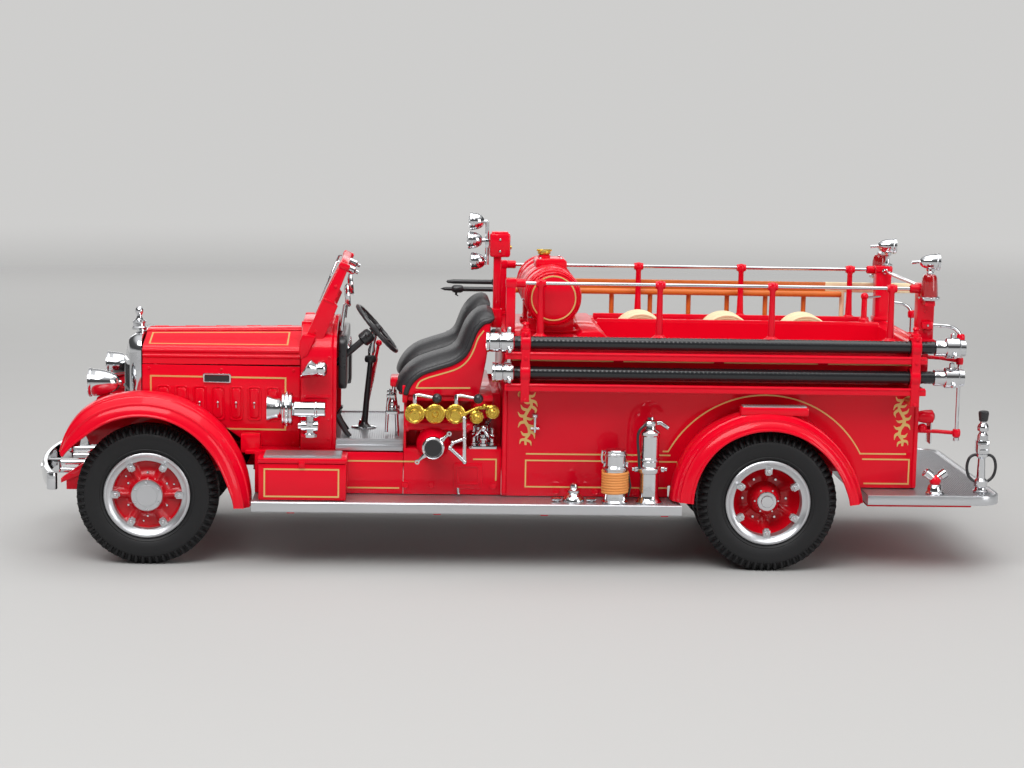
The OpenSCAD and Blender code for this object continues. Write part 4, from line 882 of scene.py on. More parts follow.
part = Part("running_board_treads")
part.box("tread", (BOARD_REAR, 28.7, BOARD_TOP - 1.4), (BOARD_FRONT, 44.9, BOARD_TOP - 0.25), 0.1)
edge = [(44.3, 17.3), (45.2, 17.25), (45.45, 17.6), (45.45, 20.1), (45.2, 20.4), (44.6, 20.42), (44.3, 20.2)]
part.prism("satin", "x", edge, BOARD_REAR, BOARD_FRONT, 0.06)
part.prism("satin", "x", [(28.7, 17.4), (29.3, 17.4), (29.3, 20.2), (28.7, 20.2)], BOARD_REAR, BOARD_FRONT,
    0.06)
ribs(part, BOARD_REAR + 0.6, BOARD_FRONT - 0.6, 31.4, 43.6, BOARD_TOP - 0.3)
for x in (-44, -8, 24, 67.5):
    part.box("red", (x - 1.2, 20, 16.6), (x + 1.2, 43.6, 18.9), 0.3)
part.mirror().make("running_boards", slot="chrome")

def on_box(a, b, h):
    return a, 42.9 + h, b


part = Part("toolbox_cases")
part.box("red", (51.2, 30.6, BOARD_TOP + 0.05), (77.1, 42.9, 31.4), 0.35)
part.box("red", (50.9, 30.6, 31.5), (77.4, 43.2, 33.1), 0.4)
part.box("tread", (52.6, 31.8, 33), (75.6, 42.6, 33.7), 0.15)
ribs(part, 53.2, 75, 32.6, 41.9, 33.65, 0.6, 0.3)
part.stripe("gold", [(53.4, 21.6), (75.3, 21.6), (75.3, 29.8), (53.4, 29.8)], 0.45, on_box, closed=True)
part.box("red", (63.4, 42.8, 30.2), (65.2, 43.5, 32.2), 0.2)
part.box("red", (77.6, 24, 31.9), (83.5, 27.4, 37.7), 0.5)
part.mirror().make("toolboxes")

part = Part("rear_step_plate")
low, high = corner("rear_step")
STEP_TOP, STEP_R, STEP_FRONT = 24, 7, -105


def step_loop(inset):
    r = STEP_R - inset
    x0, y1 = low.x + inset, 44 - inset
    return ([(STEP_FRONT, -y1), (STEP_FRONT, y1)] + arc((x0 + r, y1 - r), r, 90, 180, 10)
        + arc((x0 + r, -y1 + r), r, 180, 270, 10))


edge_steps = [(0.5, -3), (0.1, -2.9), (0, -2.6), (0, -0.4), (0.15, -0.1), (0.4, 0), (0.9, 0), (1.15, -0.1),
    (1.3, -0.35), (1.6, -0.4)]
part.loft("satin", [[(x, y, STEP_TOP + z) for x, y in step_loop(i)] for i, z in edge_steps])
RIBS, RIB_PITCH, RIB_REAR, ROUND_X = 54, 0.72, -143.6, -139
for k in range(RIBS):
    x = RIB_REAR + RIB_PITCH * k
    # the ribs get shorter round the plate's rear corners
    half = 42.2 if x > ROUND_X else 42.2 - (STEP_R - 1.6 - sqrt(max(0, 5.4 ** 2 - (ROUND_X - x) ** 2)))
    part.box("tread", (x, -half, STEP_TOP - 0.45), (x + 0.34, half, STEP_TOP - 0.18), 0)
part.box("red", (-138, -38, 19.4), (-106, 38, 21), 0.3)
part.make("rear_step", slot="chrome")

part = Part("cab_floor_plate")
cad_copy(part, "tread", "cab_floor", 0.12, keep=lambda a, b: b[2] > 36 and b[1] - a[1] > 40)
cad_copy(part, "red", "cab_floor", 0.25, keep=lambda a, b: not (b[2] > 36 and b[1] - a[1] > 40))
FLOOR = 36.4
ribs(part, 36.4, 53.8, -26.6, 26.6, FLOOR - 0.05, 0.7, 0.34)
def on_sill(a, b, h):
    return (a, 30.5 + h, b)


sill = Part("sill")
sill.box("tread", (34.4, 27.4, FLOOR - 0.1), (54.6, 28.8, FLOOR + 0.5), 0.2)
sill.box("tread", (34.4, 28.9, 33.4), (54.8, 29.9, 35.2), 0.3)
for line in ([(51, 30.4), (29.6, 30.4)], [(51, 22.2), (35.4, 22.2)],
        [(13.2, 31.3), (6.2, 31.3), (6.2, 24.8)]):
    sill.stripe("gold", line, 0.42, on_sill)
sill.prism("red", "y", rounded((10.2, 22.2), (19, 30.2), 0.8), 30.4, 30.75, 0.15)
hoop(sill, "red", "y", rounded((11, 23.4), (18.2, 29.6), 1.2), rounded((11.7, 24.1), (17.5, 28.9), 0.8), 30.6,
    31, 0.1)
for x in (33.6, 25.7, 6.9):
    sill.lathe("red", [(1.15, 0), (1.15, 0.25), (0.85, 0.35), (0.7, 0.2), (0, 0.25)], (x, 30.5, 23.3), "y",
        24)
sill.tube("chrome", [(17.6, 31, 22.4), (17.6, 31.6, 21.2), (17.4, 32, 20.6)], 0.45, 10)
part.join(sill.mirror())
# chrome linkage and red bracket between the floor and the pump
for y in (12, 20):
    part.tube("chrome", [(36.2, y, FLOOR), (36.6, y, 44), (37.6, y, 50.4), (37.2, y, 53)], 0.55)
    part.tube("chrome", [(39.6, y + 2, 38), (39.2, y + 2, 46.6), (38.4, y + 1.6, 50)], 0.5)
    part.box("chrome", (35.6, y - 1.4, 43.4), (39.9, y + 2.6, 44.8), 0.4)
    part.box("chrome", (36.6, y - 1, 48.4), (39.6, y + 2.2, 49.8), 0.4)
    part.lathe("chrome", [(1.1, 0), (1.2, 0.4), (1.2, 1.8), (0.8, 2.1), (0, 2.2)], (37.9, y - 1, 46.6), "y",
        20)
part.box("red", (33.9, 8, 49.2), (36, 20, 52.4), 0.6)
part.box("red", (34.6, 10, 51.8), (38.6, 22, 54.4), 0.7)
part.make("cab_floor", slot="red_paint")

# ---------- steering, pedals and levers ----------

WHEEL_CENTRE, WHEEL_TILT, WHEEL_R = Vector((42.8, 17, 69.2)), 49, 9.6
wheel_axis = Vector((-sin(radians(WHEEL_TILT)), 0, cos(radians(WHEEL_TILT))))
part = Part("steering_wheel_ring")
rim_r = WHEEL_R - 0.7
part.put(*WHEEL_CENTRE, "y", -WHEEL_TILT)
rings = []
for k, (ca, sa) in enumerate(around(96)):
    grip = 0.70 - 0.06 * (k % 4 == 0)
    rings.append([((rim_r + a) * ca, (rim_r + a) * sa, b) for a, b in around(12, grip)])
part.loft("black", rings, closed=True)
for ca, sa in around(4, 1, 0.5):
    d, side = Vector((ca, sa, 0)), Vector((-sa, ca, 0))
    part.loft("black", [[d * t + side * (w * a) + Vector((0, 0, z + h * b)) for a, b in around(10)]
        for t, w, h, z in ((1.2, 0.75, 0.5, -0.4), (3.5, 0.6, 0.42, -0.75), (6.4, 0.5, 0.38, -0.55),
        (rim_r, 0.6, 0.4, 0))])
part.lathe("black", [(0, -1.9), (1.6, -1.8), (1.7, -0.6), (1.5, 0.1), (1.1, 0.3)], (0, 0, 0), "z", 32)
part.lathe("black", [(1.2, 0.2), (1.3, 0.5), (1, 1), (0.5, 1.25), (0, 1.3)], (0, 0, 0), "z", 32)
part.make("steering_wheel", body="steering_wheel")


def column(t):
    return WHEEL_CENTRE + wheel_axis * t


part = Part("steering_mast")
part.lathe("black", [(0, -28), (1, -28), (1, -6.2), (1.9, -5.9), (2.2, -5.6), (2.2, -3.2), (1.9, -2.4),
    (0.9, -2.2), (0, -2.2)], WHEEL_CENTRE, wheel_axis, 32)
part.lathe("black", [(1.8, -26), (1.8, -23.5), (1.3, -23)], WHEEL_CENTRE, wheel_axis, 24)
part.tube("chrome", [column(-4.4) + Vector((0, 1.9, 0)), column(-4) + Vector((0, 4.4, 0.4)), column(-3.6)
    + Vector((0.2, 6.2, 0.8))], 0.3, 10)
part.ball("black", column(-3.5) + Vector((0.2, 6.6, 0.9)), 0.7, 12)
part.make("steering_column")

part = Part("levers_and_pedals")
part.lathe("chrome", [(0, 0), (4, 0), (4, 0.35), (3.4, 0.6), (2.6, 0.7)], (46.8, 4, FLOOR), "z", 32)
part.lathe("black", [(2.6, 0.5), (1.7, 0.9), (1.1, 1.6), (0.9, 2.4), (0, 2.6)], (46.6, 5, FLOOR), "z", 24)
part.tube("black", [(46.6, 5, FLOOR + 1), (45.9, 5, 47), (44.9, 5, 57.6)], [1, 0.9, 0.8], 14)
part.lathe("black", [(0.8, 0), (1.7, 0.3), (1.9, 1.2), (1.6, 2.2), (0.9, 2.5)], (44.9, 5, 57), "z", 20)
part.lathe("chrome", [(0.9, 0), (1.2, 1.6), (0.8, 3.4), (1.1, 5.6), (0.9, 8.4), (0.4, 9.4), (0, 9.5)],
    (44.8, 5, 59.4), (-0.12, 0, 1), 20)
part.tube("chrome", [(47.6, 2, FLOOR + 0.4), (47.2, 2, 38.4)], 1.1, 14)
part.tube("red", [(47.5, 2, FLOOR + 1), (44.6, 2, 51), (42.6, 2, 62)], 0.5)
part.tube("chrome", [(46.9, 1.2, FLOOR + 1), (44.1, 1.2, 51), (42.9, 1.2, 58)], 0.28, 10)
part.ball("red", (42.4, 2, 62.9), 1, 16)
for y in (12, 21):
    part.tube("black", [(54.8, y, 42.6), (53.6, y, 40), (51.6, y, FLOOR + 0.6)], 0.6, 10)
    part.prism("black", "y", [(55.9, 41), (53.6, 44.6), (53, 44.2), (55.2, 40.6)], y - 1.7, y + 1.7, 0.2)
    for k in range(4):
        part.box("steel", (53.4 + 0.5 * k, y - 1.5, 44.1 - 0.8 * k),
            (53.6 + 0.5 * k, y + 1.5, 44.4 - 0.8 * k), 0)
part.tube("black", [(54.6, 24, 43.5), (52, 24, 38.6), (50.6, 24, FLOOR + 0.4)], 0.7, 10)
part.make("floor_controls", slot="black_plastic")

# ---------- seats ----------

SEAT_EDGE = [(33.2, 50.9), (32.5, 53.1), (31, 55.2), (28.6, 57), (24.6, 58.5), (20, 60), (17, 61.8),
    (15, 64.2), (13.6, 67.6), (12.4, 70.4), (10.5, 72.5), (8.6, 73)]
SEAT_MID = 19.5

part = Part("seat_shells")
panel = spline(SEAT_EDGE, 3) + [(10, 61), (11.8, 51.2)]
for y in (7.5, 29.9):
    part.prism("red", "y", panel, y, y + 1.6, 0.25)
part.box("red", (12, 7.6, 50.7), (33.2, 31.4, 52.6), 0.4)
part.prism("red", "y", [(13.6, 51.4), (11.6, 51.4), (9.8, 61), (8.3, 72.8), (10.2, 73), (11.7, 61)], 8.4,
    30.6, 0.3)
part.box("red", (33.2, 7.6, 48.4), (34.8, 31.4, 53.6), 0.3)
line = spline([(30.6, 53.1), (29.6, 54.9), (27, 56.2), (23, 57.4), (18.4, 59), (15.4, 61.4), (13.6, 64.6),
    (12.3, 68.2), (10.6, 70.6)], 4)
part.stripe("gold", [(14.4, 53.2), (30.4, 53)] + line, 0.42, lambda a, b, h: (a, 31.5 + h, b))
part.mirror().make("seat_frames")

# half of the cushion's section: distance from the seat's middle, height above the edge line
seat_half = [(0, 4), (3, 3.95), (6, 3.75), (8, 3.4), (9.4, 2.9), (10.3, 2.2), (10.8, 1.5), (11, 1.1),
    (11.25, 1.3), (11.7, 1.5), (12.15, 1.35), (12.45, 0.9), (12.5, 0.4), (12.3, -0.05), (11.7, -0.3),
    (10.4, -0.5), (9, -0.9)]
seat_path = [Vector(p) for p in spline(SEAT_EDGE, 6)]


def seat_ring(i, squeeze, push):
    before, after = seat_path[max(i - 1, 0)], seat_path[min(i + 1, len(seat_path) - 1)]
    ahead = (after - before).normalized()
    up = Vector((ahead.y, -ahead.x))
    if up.y < 0 and up.x < 0:
        up = -up
    base = seat_path[i] + ahead * push
    ring = []
    for sy in (1, -1):
        half = seat_half if sy == 1 else seat_half[-1:0:-1]
        for y, h in half:
            hh = 1.4 + (h - 1.4) * squeeze
            p = base + up * hh
            ring.append((p.x, SEAT_MID + sy * y * (0.88 + 0.12 * squeeze), p.y))
    return ring


for side, mirrored in (("left", False), ("right", True)):
    part = Part(f"seat_cushion_{side}")
    last = len(seat_path) - 1
    rings = [seat_ring(0, 0.25, -0.5), seat_ring(0, 0.62, -0.38), seat_ring(0, 0.86, -0.15)]
    rings += [seat_ring(i, 1, 0) for i in range(1, last)]
    rings += [seat_ring(last, 0.9, 0.1), seat_ring(last, 0.7, 0.9), seat_ring(last, 0.4, 1.35),
        seat_ring(last, 0.15, 1.5)]
    part.loft("vinyl", rings)
    cushion = part.make("seat_cushions", mirrored=mirrored, sharp=60)

# ---------- pump ----------

INTAKE = Vector((25.4, 0, 36.1))

part = Part("pump_body")
part.lathe("red", [(5.4, 21.9), (5.4, 22.6), (4.6, 23.2), (4.4, 27), (4.9, 30), (5, 31.4), (4.4, 32.6),
    (3.6, 34.4), (3.5, 37.6), (0, 37.8)], (INTAKE.x, 0, INTAKE.z), "y", 48)
part.prism("red", "y", [(20.6, 42.4), (30.2, 42.4), (29, 37.4), (21.8, 37.4)], 22, 30.6, 0.8)
for dx, dz in around(10, 5, 0.5):
    part.bolt("red", (INTAKE.x + dx, 22.6, INTAKE.z + dz), "y", 0.35, 0.3)
part.tube("red", [(14.6, 30.4, 41.2), (33.8, 30.4, 41.2)], 1.25, 20)
for x in (15, 33.2):
    part.lathe("red", [(1.7, 0), (1.7, 1), (1.2, 1.2)], (x - 0.5, 30.4, 41.2), "x", 20)
part.prism("red", "y", [(12.6, 43.4), (4.8, 43.4), (4.8, 50.4), (12.6, 50.4)], 21.8, 22.6, 0.3)
# round air dome and the deck's front edge
part.ball("red", (10.9, 27, 47.6), 3.3, 32)
part.lathe("red", [(2.2, 0), (2.2, 1.4), (1.7, 1.8)], (10.9, 27, 43.6), "z", 24)
part.box("red", (33.5, 22, 33), (34.3, 30.2, 50.2), 0.25)
for x in (15.6, 20.2, 31.6):
    part.bolt("red", (x, 22, 34.4), "y", 0.4, 0.3)
part.mirror()
cad_copy(part, "red", "pump_housing", 0.25)
part.make("pump_housing")

part = Part("pump_valve_wheels")
WHEEL_R = 2.95
for x, z, drop in ((31, 45.7, 0.5), (24.9, 45.7, 0), (18.8, 45.7, 0.5)):
    r = WHEEL_R
    part.lathe("brass", [(1.4, 22), (1.4, 31), (1.9, 31.4), (1.9, 33.4), (r, 34.1), (r + 0.05, 34.5),
        (r, 35.1), (r - 0.35, 35.3), (r - 0.5, 35.1), (r - 0.8, 35.1), (r - 0.95, 35.4), (r - 1.3, 35.5),
        (r - 1.45, 35.3), (1.1, 35.35), (0.95, 35.7), (0.7, 36), (0.35, 36.1), (0, 36.1)], (x, 0, z), "y", 56)
    for dx, dz in around(8, r - 0.25, 0.5):
        part.ball("brass", (x + dx, 35.2, z + dz), 0.26, 8)
    if drop:
        part.lathe("brass", [(1.9, 0), (2.05, 0.2), (2, 0.6), (1.7, 0.75), (1.5, 0.6), (0, 0.75)],
            (x, 35.3, z - drop), (0, 1, -0.12), 40)
part.tube("brass", [(31, 33.2, 46.2), (18.8, 33.2, 46.2)], 0.8, 16)
for x, z in ((12.4, 44.5), (7.6, 46.1)):
    part.lathe("brass", [(0.8, 22), (0.8, 31), (1.2, 31.2), (1.9, 31.6), (2.05, 32), (2, 32.7), (1.6, 33),
        (1.45, 32.8), (1, 32.8), (0.85, 33.2), (0.45, 33.5), (0, 33.6)], (x, 0, z), "y", 40)
    for dx, dz in around(10, 1.95):
        part.ball("brass", (x + dx, 32.3, z + dz), 0.25, 8)
part.tube("brass", [(16.4, 31, 45), (12.4, 31, 46.9), (7.6, 31, 47.6)], 0.6, 14)
part.ball("brass", (10, 31, 47.6), 0.85, 16)
part.mirror().make("pump_valves")

part = Part("pump_levers")
for x in (31, 18.6):
    part.lathe("chrome", [(1.2, 47.6), (1.2, 48.4), (0.75, 48.7), (0.7, 51), (0.5, 51.5), (0, 51.6)],
        (x, 33.4, 0), "z", 24)
    part.tube("chrome", [(x, 33.4, 51), (x - 1.2, 33.6, 51.2), (x - 3.4, 34.2, 50.9), (x - 5.4, 34.6, 50.6)],
        [0.55, 0.6, 0.5, 0.45], 12)
    part.ball("black", (x - 6.6, 34.8, 50.4), 1.5, 24)
# folding crank
CRANK_Y = 37
crank = [(x, CRANK_Y, z) for x, z in ((16.2, 44.8), (15.9, 31.6), (20.4, 35.8), (19.6, 37.3), (16.1, 38.6))]
for a, b, r in zip(crank, crank[1:], (0.62, 0.6, 0.55, 0.5)):
    part.tube("chrome", [a, b], r)
for knuckle in crank:
    part.ball("chrome", knuckle, 0.78, 16)
part.tube("chrome", [(16.2, CRANK_Y, 44.8), (16, 34, 45), (16, 30, 45)], 0.5)
# gauge and strainer cluster
part.box("chrome", (6, 23, 34.3), (14.4, 30.4, 35.4), 0.3)
# radius and height of each point of a fitting, as shares of its own
fitting = [(0.65, 0.45), (1.05, 0.5), (1.05, 0.62), (0.6, 0.7), (0.55, 0.88), (0.8, 0.93), (0.5, 1), (0, 1)]
for x, y, r, h in ((7.4, 27.5, 1.25, 5.3), (10.2, 29, 1.6, 3.7), (13, 27.5, 1.2, 5.9), (9, 25, 1.1, 7.7),
        (11.8, 25, 1.1, 8.3)):
    part.lathe("chrome", [(r, 0), (r, 0.6), (r * 0.7, 0.9)] + [(r * a, h * b) for a, b in fitting],
        (x, y, 35.3), "z", 24)
for path in ([(7.4, 28.6, 37.6), (8.8, 30.2, 38.6), (10.2, 30.4, 40.4)],
        [(13.2, 28.6, 38), (12, 30.4, 39.2), (10.4, 30.6, 41.2)],
        [(9, 27, 41.5), (8, 29, 43.2), (7.8, 30.6, 44.4)],
        [(12, 27, 41.5), (12.6, 29, 42.4), (12.4, 30.8, 43.6)]):
    part.tube("chrome", spline(path, 4), 0.5)
part.ball("chrome", (10.2, 30.4, 40.8), 1.1)
part.mirror().make("pump_controls")

part = Part("suction_cap_disc")
part.lathe("chrome", [(0, 37.8), (2.9, 37.9), (3.3, 38.1), (3.4, 38.6), (3.4, 39.7), (3.25, 40.2),
    (2.95, 40.4), (2.7, 40.3), (2.6, 40.05), (0, 40.05)], (INTAKE.x, 0, INTAKE.z), "y", 64)
part.lathe("black", [(2.58, 40), (2.5, 40.2), (0, 40.25)], (INTAKE.x, 0, INTAKE.z), "y", 48)
for turn in (0, 180):
    part.put(*INTAKE, "y", 42.5 + turn)
    part.loft("chrome", [[(t, 39.1 + 0.45 * b, w * a) for a, b in around(12)]
        for t, w in ((2.6, 0.9), (3.6, 0.75), (4.6, 0.5), (5.6, 0.42), (6.2, 0.5))])
    part.lathe("chrome", [(0.3, -0.45), (0.72, -0.4), (0.8, 0), (0.72, 0.4), (0.3, 0.45)], (6.4, 39.1, 0),
        "y", 20, ring=True)
part.mirror().make("suction_cap")

# ---------- rear body ----------

BODY_FRONT, BODY_REAR, BODY_Y, DECK_TOP = 4.5, -122, 32, 68.7


def on_body(a, b, h):
    return (a, BODY_Y + h, b)


def scroll(part, cx, low, high, flip):
    """Generic leaf scrollwork on the body's side, between two heights."""
    tall = high - low

    def place(points):
        return [(cx + flip * a * tall, low + b * tall) for a, b in points]

    strokes = [([(0.10, 1), (0.02, 0.94), (-0.05, 0.85), (-0.07, 0.75), (-0.01, 0.65), (0.04, 0.55),
        (0.03, 0.45), (-0.03, 0.35), (-0.04, 0.24), (0.02, 0.14), (0.02, 0.03)], 0.6, 0.9),
        ([(0.06, 0.97), (0.13, 0.99), (0.16, 0.93), (0.11, 0.89)], 0.9, 0.3),
        ([(0, 0.92), (-0.10, 0.92), (-0.14, 0.99)], 0.9, 0.2),
        ([(-0.05, 0.84), (-0.14, 0.81), (-0.18, 0.73)], 1, 0.2),
        ([(-0.06, 0.80), (0.03, 0.80), (0.08, 0.85)], 0.9, 0.2),
        ([(-0.07, 0.74), (-0.15, 0.67), (-0.13, 0.59)], 1, 0.2),
        ([(-0.01, 0.66), (0.08, 0.69), (0.12, 0.76)], 1, 0.2),
        ([(0.03, 0.56), (0.12, 0.56), (0.17, 0.63)], 1, 0.2),
        ([(0.02, 0.52), (-0.06, 0.50), (-0.12, 0.53)], 0.9, 0.2),
        ([(0.03, 0.45), (0.12, 0.43), (0.16, 0.35)], 1, 0.2),
        ([(-0.01, 0.39), (-0.10, 0.37), (-0.16, 0.42)], 1, 0.2),
        ([(-0.04, 0.28), (-0.12, 0.24), (-0.14, 0.15)], 1, 0.2),
        ([(-0.03, 0.22), (0.06, 0.22), (0.11, 0.28)], 1, 0.2),
        ([(0.02, 0.13), (0.10, 0.12), (0.13, 0.05)], 0.9, 0.2),
        ([(0.02, 0.12), (-0.06, 0.09), (-0.08, 0.02)], 0.8, 0.2),]
    for layer, (points, first, last) in enumerate(strokes):
        path = spline(place(points), 5)
        n = len(path) - 1
        widths = [max(0.15, 1.15 * (first + (last - first) * i / n) * (0.6 + 0.5 * sin(pi * i / n)))
            for i in range(n + 1)]
        part.stripe("gold", path, widths, on_body, 0.06 + 0.012 * layer)


part = Part("rear_body_shell")
cad_copy(part, "red", "rear_body", 0.3)
side = Part("side")
# corner beads at the body's front and rear
for x, low, r in ((BODY_FRONT - 0.7, 21.2, 0.8), (BODY_REAR + 0.7, 24.4, 0.7)):
    side.tube("red", [(x, BODY_Y - 0.1, low), (x, BODY_Y - 0.1, DECK_TOP - 3.8)], r, 16)
swoop = arc((REAR_X, 19), 33.2, 28, 152, 40)
for line in ([(-46.6, 33.4), (-2.7, 33.4)], [(-48.6, 31.4), (-2.7, 31.4), (-2.7, 23.3), (-46, 23.3)],
        [(-44.2, 34.6)] + swoop + [(-118.6, 34.6)],
        [(-105.2, 32.9), (-119.6, 32.9), (-119.6, 25.4), (-105.9, 25.4)]):
    side.stripe("gold", line, 0.42, on_body)
scroll(side, -2.9, 35.6, 52.4, 1)
scroll(side, -117, 36.6, 52.4, -1)
side.stripe("gold", [(-120.6, 61.9), (2, 61.9)], 0.36, on_body)
# grab handle, hinges and small tabs
side.tube("chrome", [(-5.2, 32, 44.9), (-5.2, 33.4, 44.7), (-5.2, 33.6, 42.8), (-5.2, 33.4, 40.2)], 0.42)
side.tube("chrome", [(-6.5, 33.4, 41.4), (-3.9, 33.4, 41.4)], 0.4)
side.lathe("chrome", [(0.95, 0), (0.95, 0.6), (0.6, 1), (0, 1.1)], (-5.2, 32, 45), "y", 20)
for x, z in ((-60.5, 62.4), (-60.5, 53), (-30, 62.4), (-92, 62.4)):
    side.box("red", (x - 1.5, 31.8, z - 0.7), (x + 1.5, 33, z + 0.6), 0.2)
for x in (-12, -24, -36):
    side.lathe("red", [(1.1, 0), (1.1, 0.2), (0.8, 0.3), (0.6, 0.15), (0, 0.2)], (x, 32, 22), "y", 24)
for k in range(12):
    side.bolt("red", (-3 - 10.4 * k, 35, 66.8), "y", 0.34, 0.2, 12)
part.join(side.mirror())
# rods that carry the hoses, on the left side only
for z in (55.5, 65):
    part.tube("red", [(BODY_REAR + 0.4, 40.2, z), (BODY_FRONT - 0.4, 40.2, z)], 0.5, 10)
# slats on the bed's floor
for k in range(9):
    part.box("red", (-117.5, -9.6 + 4.3 * k, 54.8), (-29.5, -6.2 + 4.3 * k, 55.5), 0.25)
# raised hatch by the bed's front wall, and the rear panel's doors
part.prism("red", "y", [(-17.5, DECK_TOP - 0.2), (-26.9, DECK_TOP - 0.2), (-24.6, DECK_TOP + 1.6),
    (-19.2, DECK_TOP + 1.6)], -26, 27.5, 0.3)
for y0, y1 in ((-24, -1.2), (1.2, 24)):
    part.prism("red", "x", rounded((y0, 28), (y1, 52), 1.2), BODY_REAR - 0.35, BODY_REAR + 0.2, 0.2)
    hoop(part, "gold", "x", rounded((y0 + 1.6, 29.6), (y1 - 1.6, 50.4), 0.8),
        rounded((y0 + 2, 30), (y1 - 2, 50), 0.6), BODY_REAR - 0.42, BODY_REAR - 0.3, 0)
    y = y1 - 3.4 if y1 < 0 else y0 + 3.4
    part.tube("chrome", [(BODY_REAR - 0.3, y, 37), (BODY_REAR - 1.4, y, 37.4), (BODY_REAR - 1.4, y, 42.6),
        (BODY_REAR - 0.3, y, 43)], 0.4, 12)
    for z in (31, 49):
        outer = y0 + 0.2 if y1 < 0 else y1 - 0.2
        part.lathe("chrome", [(0.5, -1.6), (0.5, 1.6), (0, 1.7)], (BODY_REAR - 0.5, outer, z), "z", 14)
part.make("rear_body")

TANK_X, TANK_Z = -10.3, 80.4
DECK, LID_TOP, CAP_X, SADDLE_Y = DECK_TOP - TANK_Z, 9.9, 1.4, 15
part = Part("booster_tank_drum")
part.put(TANK_X, 0, TANK_Z)
part.lathe("gold", [(6.85, 29.02), (6.8, 29.2), (6.45, 29.22), (6.4, 29.05)], axis="y", steps=96, ring=True)
saddle = [(7, DECK), (7, -6)] + arc((0, 0), 8.9, -40, -140, 10) + [(-7, -6), (-7, DECK)]
part.prism("red", "y", saddle, SADDLE_Y - 3, SADDLE_Y + 3, 0.3)
part.box("red", (-8, SADDLE_Y - 4, DECK), (8, SADDLE_Y + 4, DECK + 0.9), 0.25)
for x in (-7.2, 7.2):
    part.bolt("chrome", (x, SADDLE_Y, DECK + 0.9), "z", 0.6, 0.5)
for x in (-3.6, 2.8):
    part.bolt("chrome", (x, 5, LID_TOP), "z", 0.45, 0.35)
part.mirror()
half = [(0, 29.25), (6.8, 29.1), (7.05, 28.95), (7.2, 28.6), (7.35, 28.6), (7.55, 28.9), (7.8, 28.75),
    (7.85, 28.2), (7.7, 27.9), (7.95, 27.7), (8.2, 27.8), (8.3, 27.4), (8.25, 26.9), (8.1, 26.6),
    (8.35, 26.3), (8.62, 26.2), (8.7, 25.6), (8.5, 25.2), (8.5, 24.4), (8.75, 24), (8.75, 23.2), (8.5, 22.8),
    (8.5, 14.4), (8.75, 14), (8.75, 12.8), (8.5, 12.4), (8.5, 1.2), (8.62, 0.9), (8.62, 0)]
part.lathe("red", half + [(r, -t) for r, t in reversed(half[:-1])], axis="y", steps=96)
# drain taps, and the raised lid with its filler cap
for x, z in ((7.6, -1), (5.6, -6.4)):
    part.lathe("chrome", [(0.8, 0), (0.8, 0.6), (0.4, 0.9), (0.4, 1.6), (0, 1.7)], (x, 24, z), (1, 0.2, 0),
        16)
part.prism("red", "y", [(4.4, 7.2), (4.4, 9.2), (3.6, LID_TOP), (-4.6, LID_TOP), (-5.4, 9.2), (-5.4, 6.6)],
    -6.5, 6.5, 0.4)
part.lathe("red", [(1.9, 0), (1.9, 0.8), (1.4, 1.1)], (CAP_X, 0, 9.8), "z", 24)
part.lathe("brass", [(1.2, 0.6), (1.3, 1), (1.9, 1.2), (2.05, 1.6), (1.95, 2.1), (1.2, 2.35), (0.7, 2.6),
    (0, 2.7)], (CAP_X, 0, 9.8), "z", 32)
part.box("brass", (CAP_X - 2.4, -0.4, 11.9), (CAP_X + 2.4, 0.4, 12.5), 0.2)
part.make("booster_tank", slot="red_paint")

# ---------- wound hose in the bed ----------

ROLL_R, ROLL_LOW, CORE_R, WIDTH, LAYERS = 8.5, 54.8, 1.7, 6.4, 9
# seams between the layers of hose, as seen on a roll's flat side
seams = []
for j in range(LAYERS):
    r0, r1 = [CORE_R + (ROLL_R - CORE_R - 0.2) * n / LAYERS for n in (j, j + 1)]
    seams += [(r0 + 0.04, 0.34), (r0 + 0.14, 0.05), (r1 - 0.14, 0), (r1 - 0.04, 0.3)]
outer = [(ROLL_R - 0.1, 0.5), (ROLL_R, 1.2), (ROLL_R - 0.08, 3.2), (ROLL_R, 5.2), (ROLL_R - 0.1, 5.9)]
roll = seams + outer + [(r, WIDTH - t) for r, t in reversed(seams)] + [(CORE_R, WIDTH / 2)]


def wind(step, r, t):
    """Makes the layers of hose spiral inward."""
    return r - 0.35 * (step / 72 if r > 2 else 0), t


part = Part("hose_coils")
for x in (-41.6, -69.4, -95):
    for y in (-27.3, -20.3):
        part.lathe("canvas", roll, (x, y, ROLL_LOW + ROLL_R), "y", 72, ring=True, shape=wind)
        part.lathe("brass", [(0, 1.2), (1.5, 1.2), (1.5, 5.2), (0, 5.2)], (x, y, ROLL_LOW + ROLL_R), "y", 24)
part.make("hose_rolls")

# ---------- rails, hoses and brackets ----------

RAIL_Y, RAIL_Z = 32.8, 85.2
part = Part("rail_posts")
for x in (-6.2, -42, -75.9, -112):
    part.lathe("red", [(0, DECK_TOP), (2.3, DECK_TOP), (2.3, DECK_TOP + 0.6), (1.7, DECK_TOP + 1),
        (1.15, DECK_TOP + 1.5), (0.95, DECK_TOP + 7), (0.85, RAIL_Z - 1.6), (1.2, RAIL_Z - 0.9),
        (1.3, RAIL_Z), (1.1, RAIL_Z + 0.9), (0.5, RAIL_Z + 1.3), (0, RAIL_Z + 1.35)], (x, RAIL_Y, 0), "z", 24)
    part.lathe("red", [(0.56, -1.5), (1.05, -1.5), (1.15, -1.1), (1.15, 1.1), (1.05, 1.5), (0.56, 1.5)],
        (x, RAIL_Y, RAIL_Z), "x", 24, ring=True)
part.box("red", (1.4, RAIL_Y - 1.4, DECK_TOP), (4.2, RAIL_Y + 1.4, RAIL_Z - 0.6), 0.35)
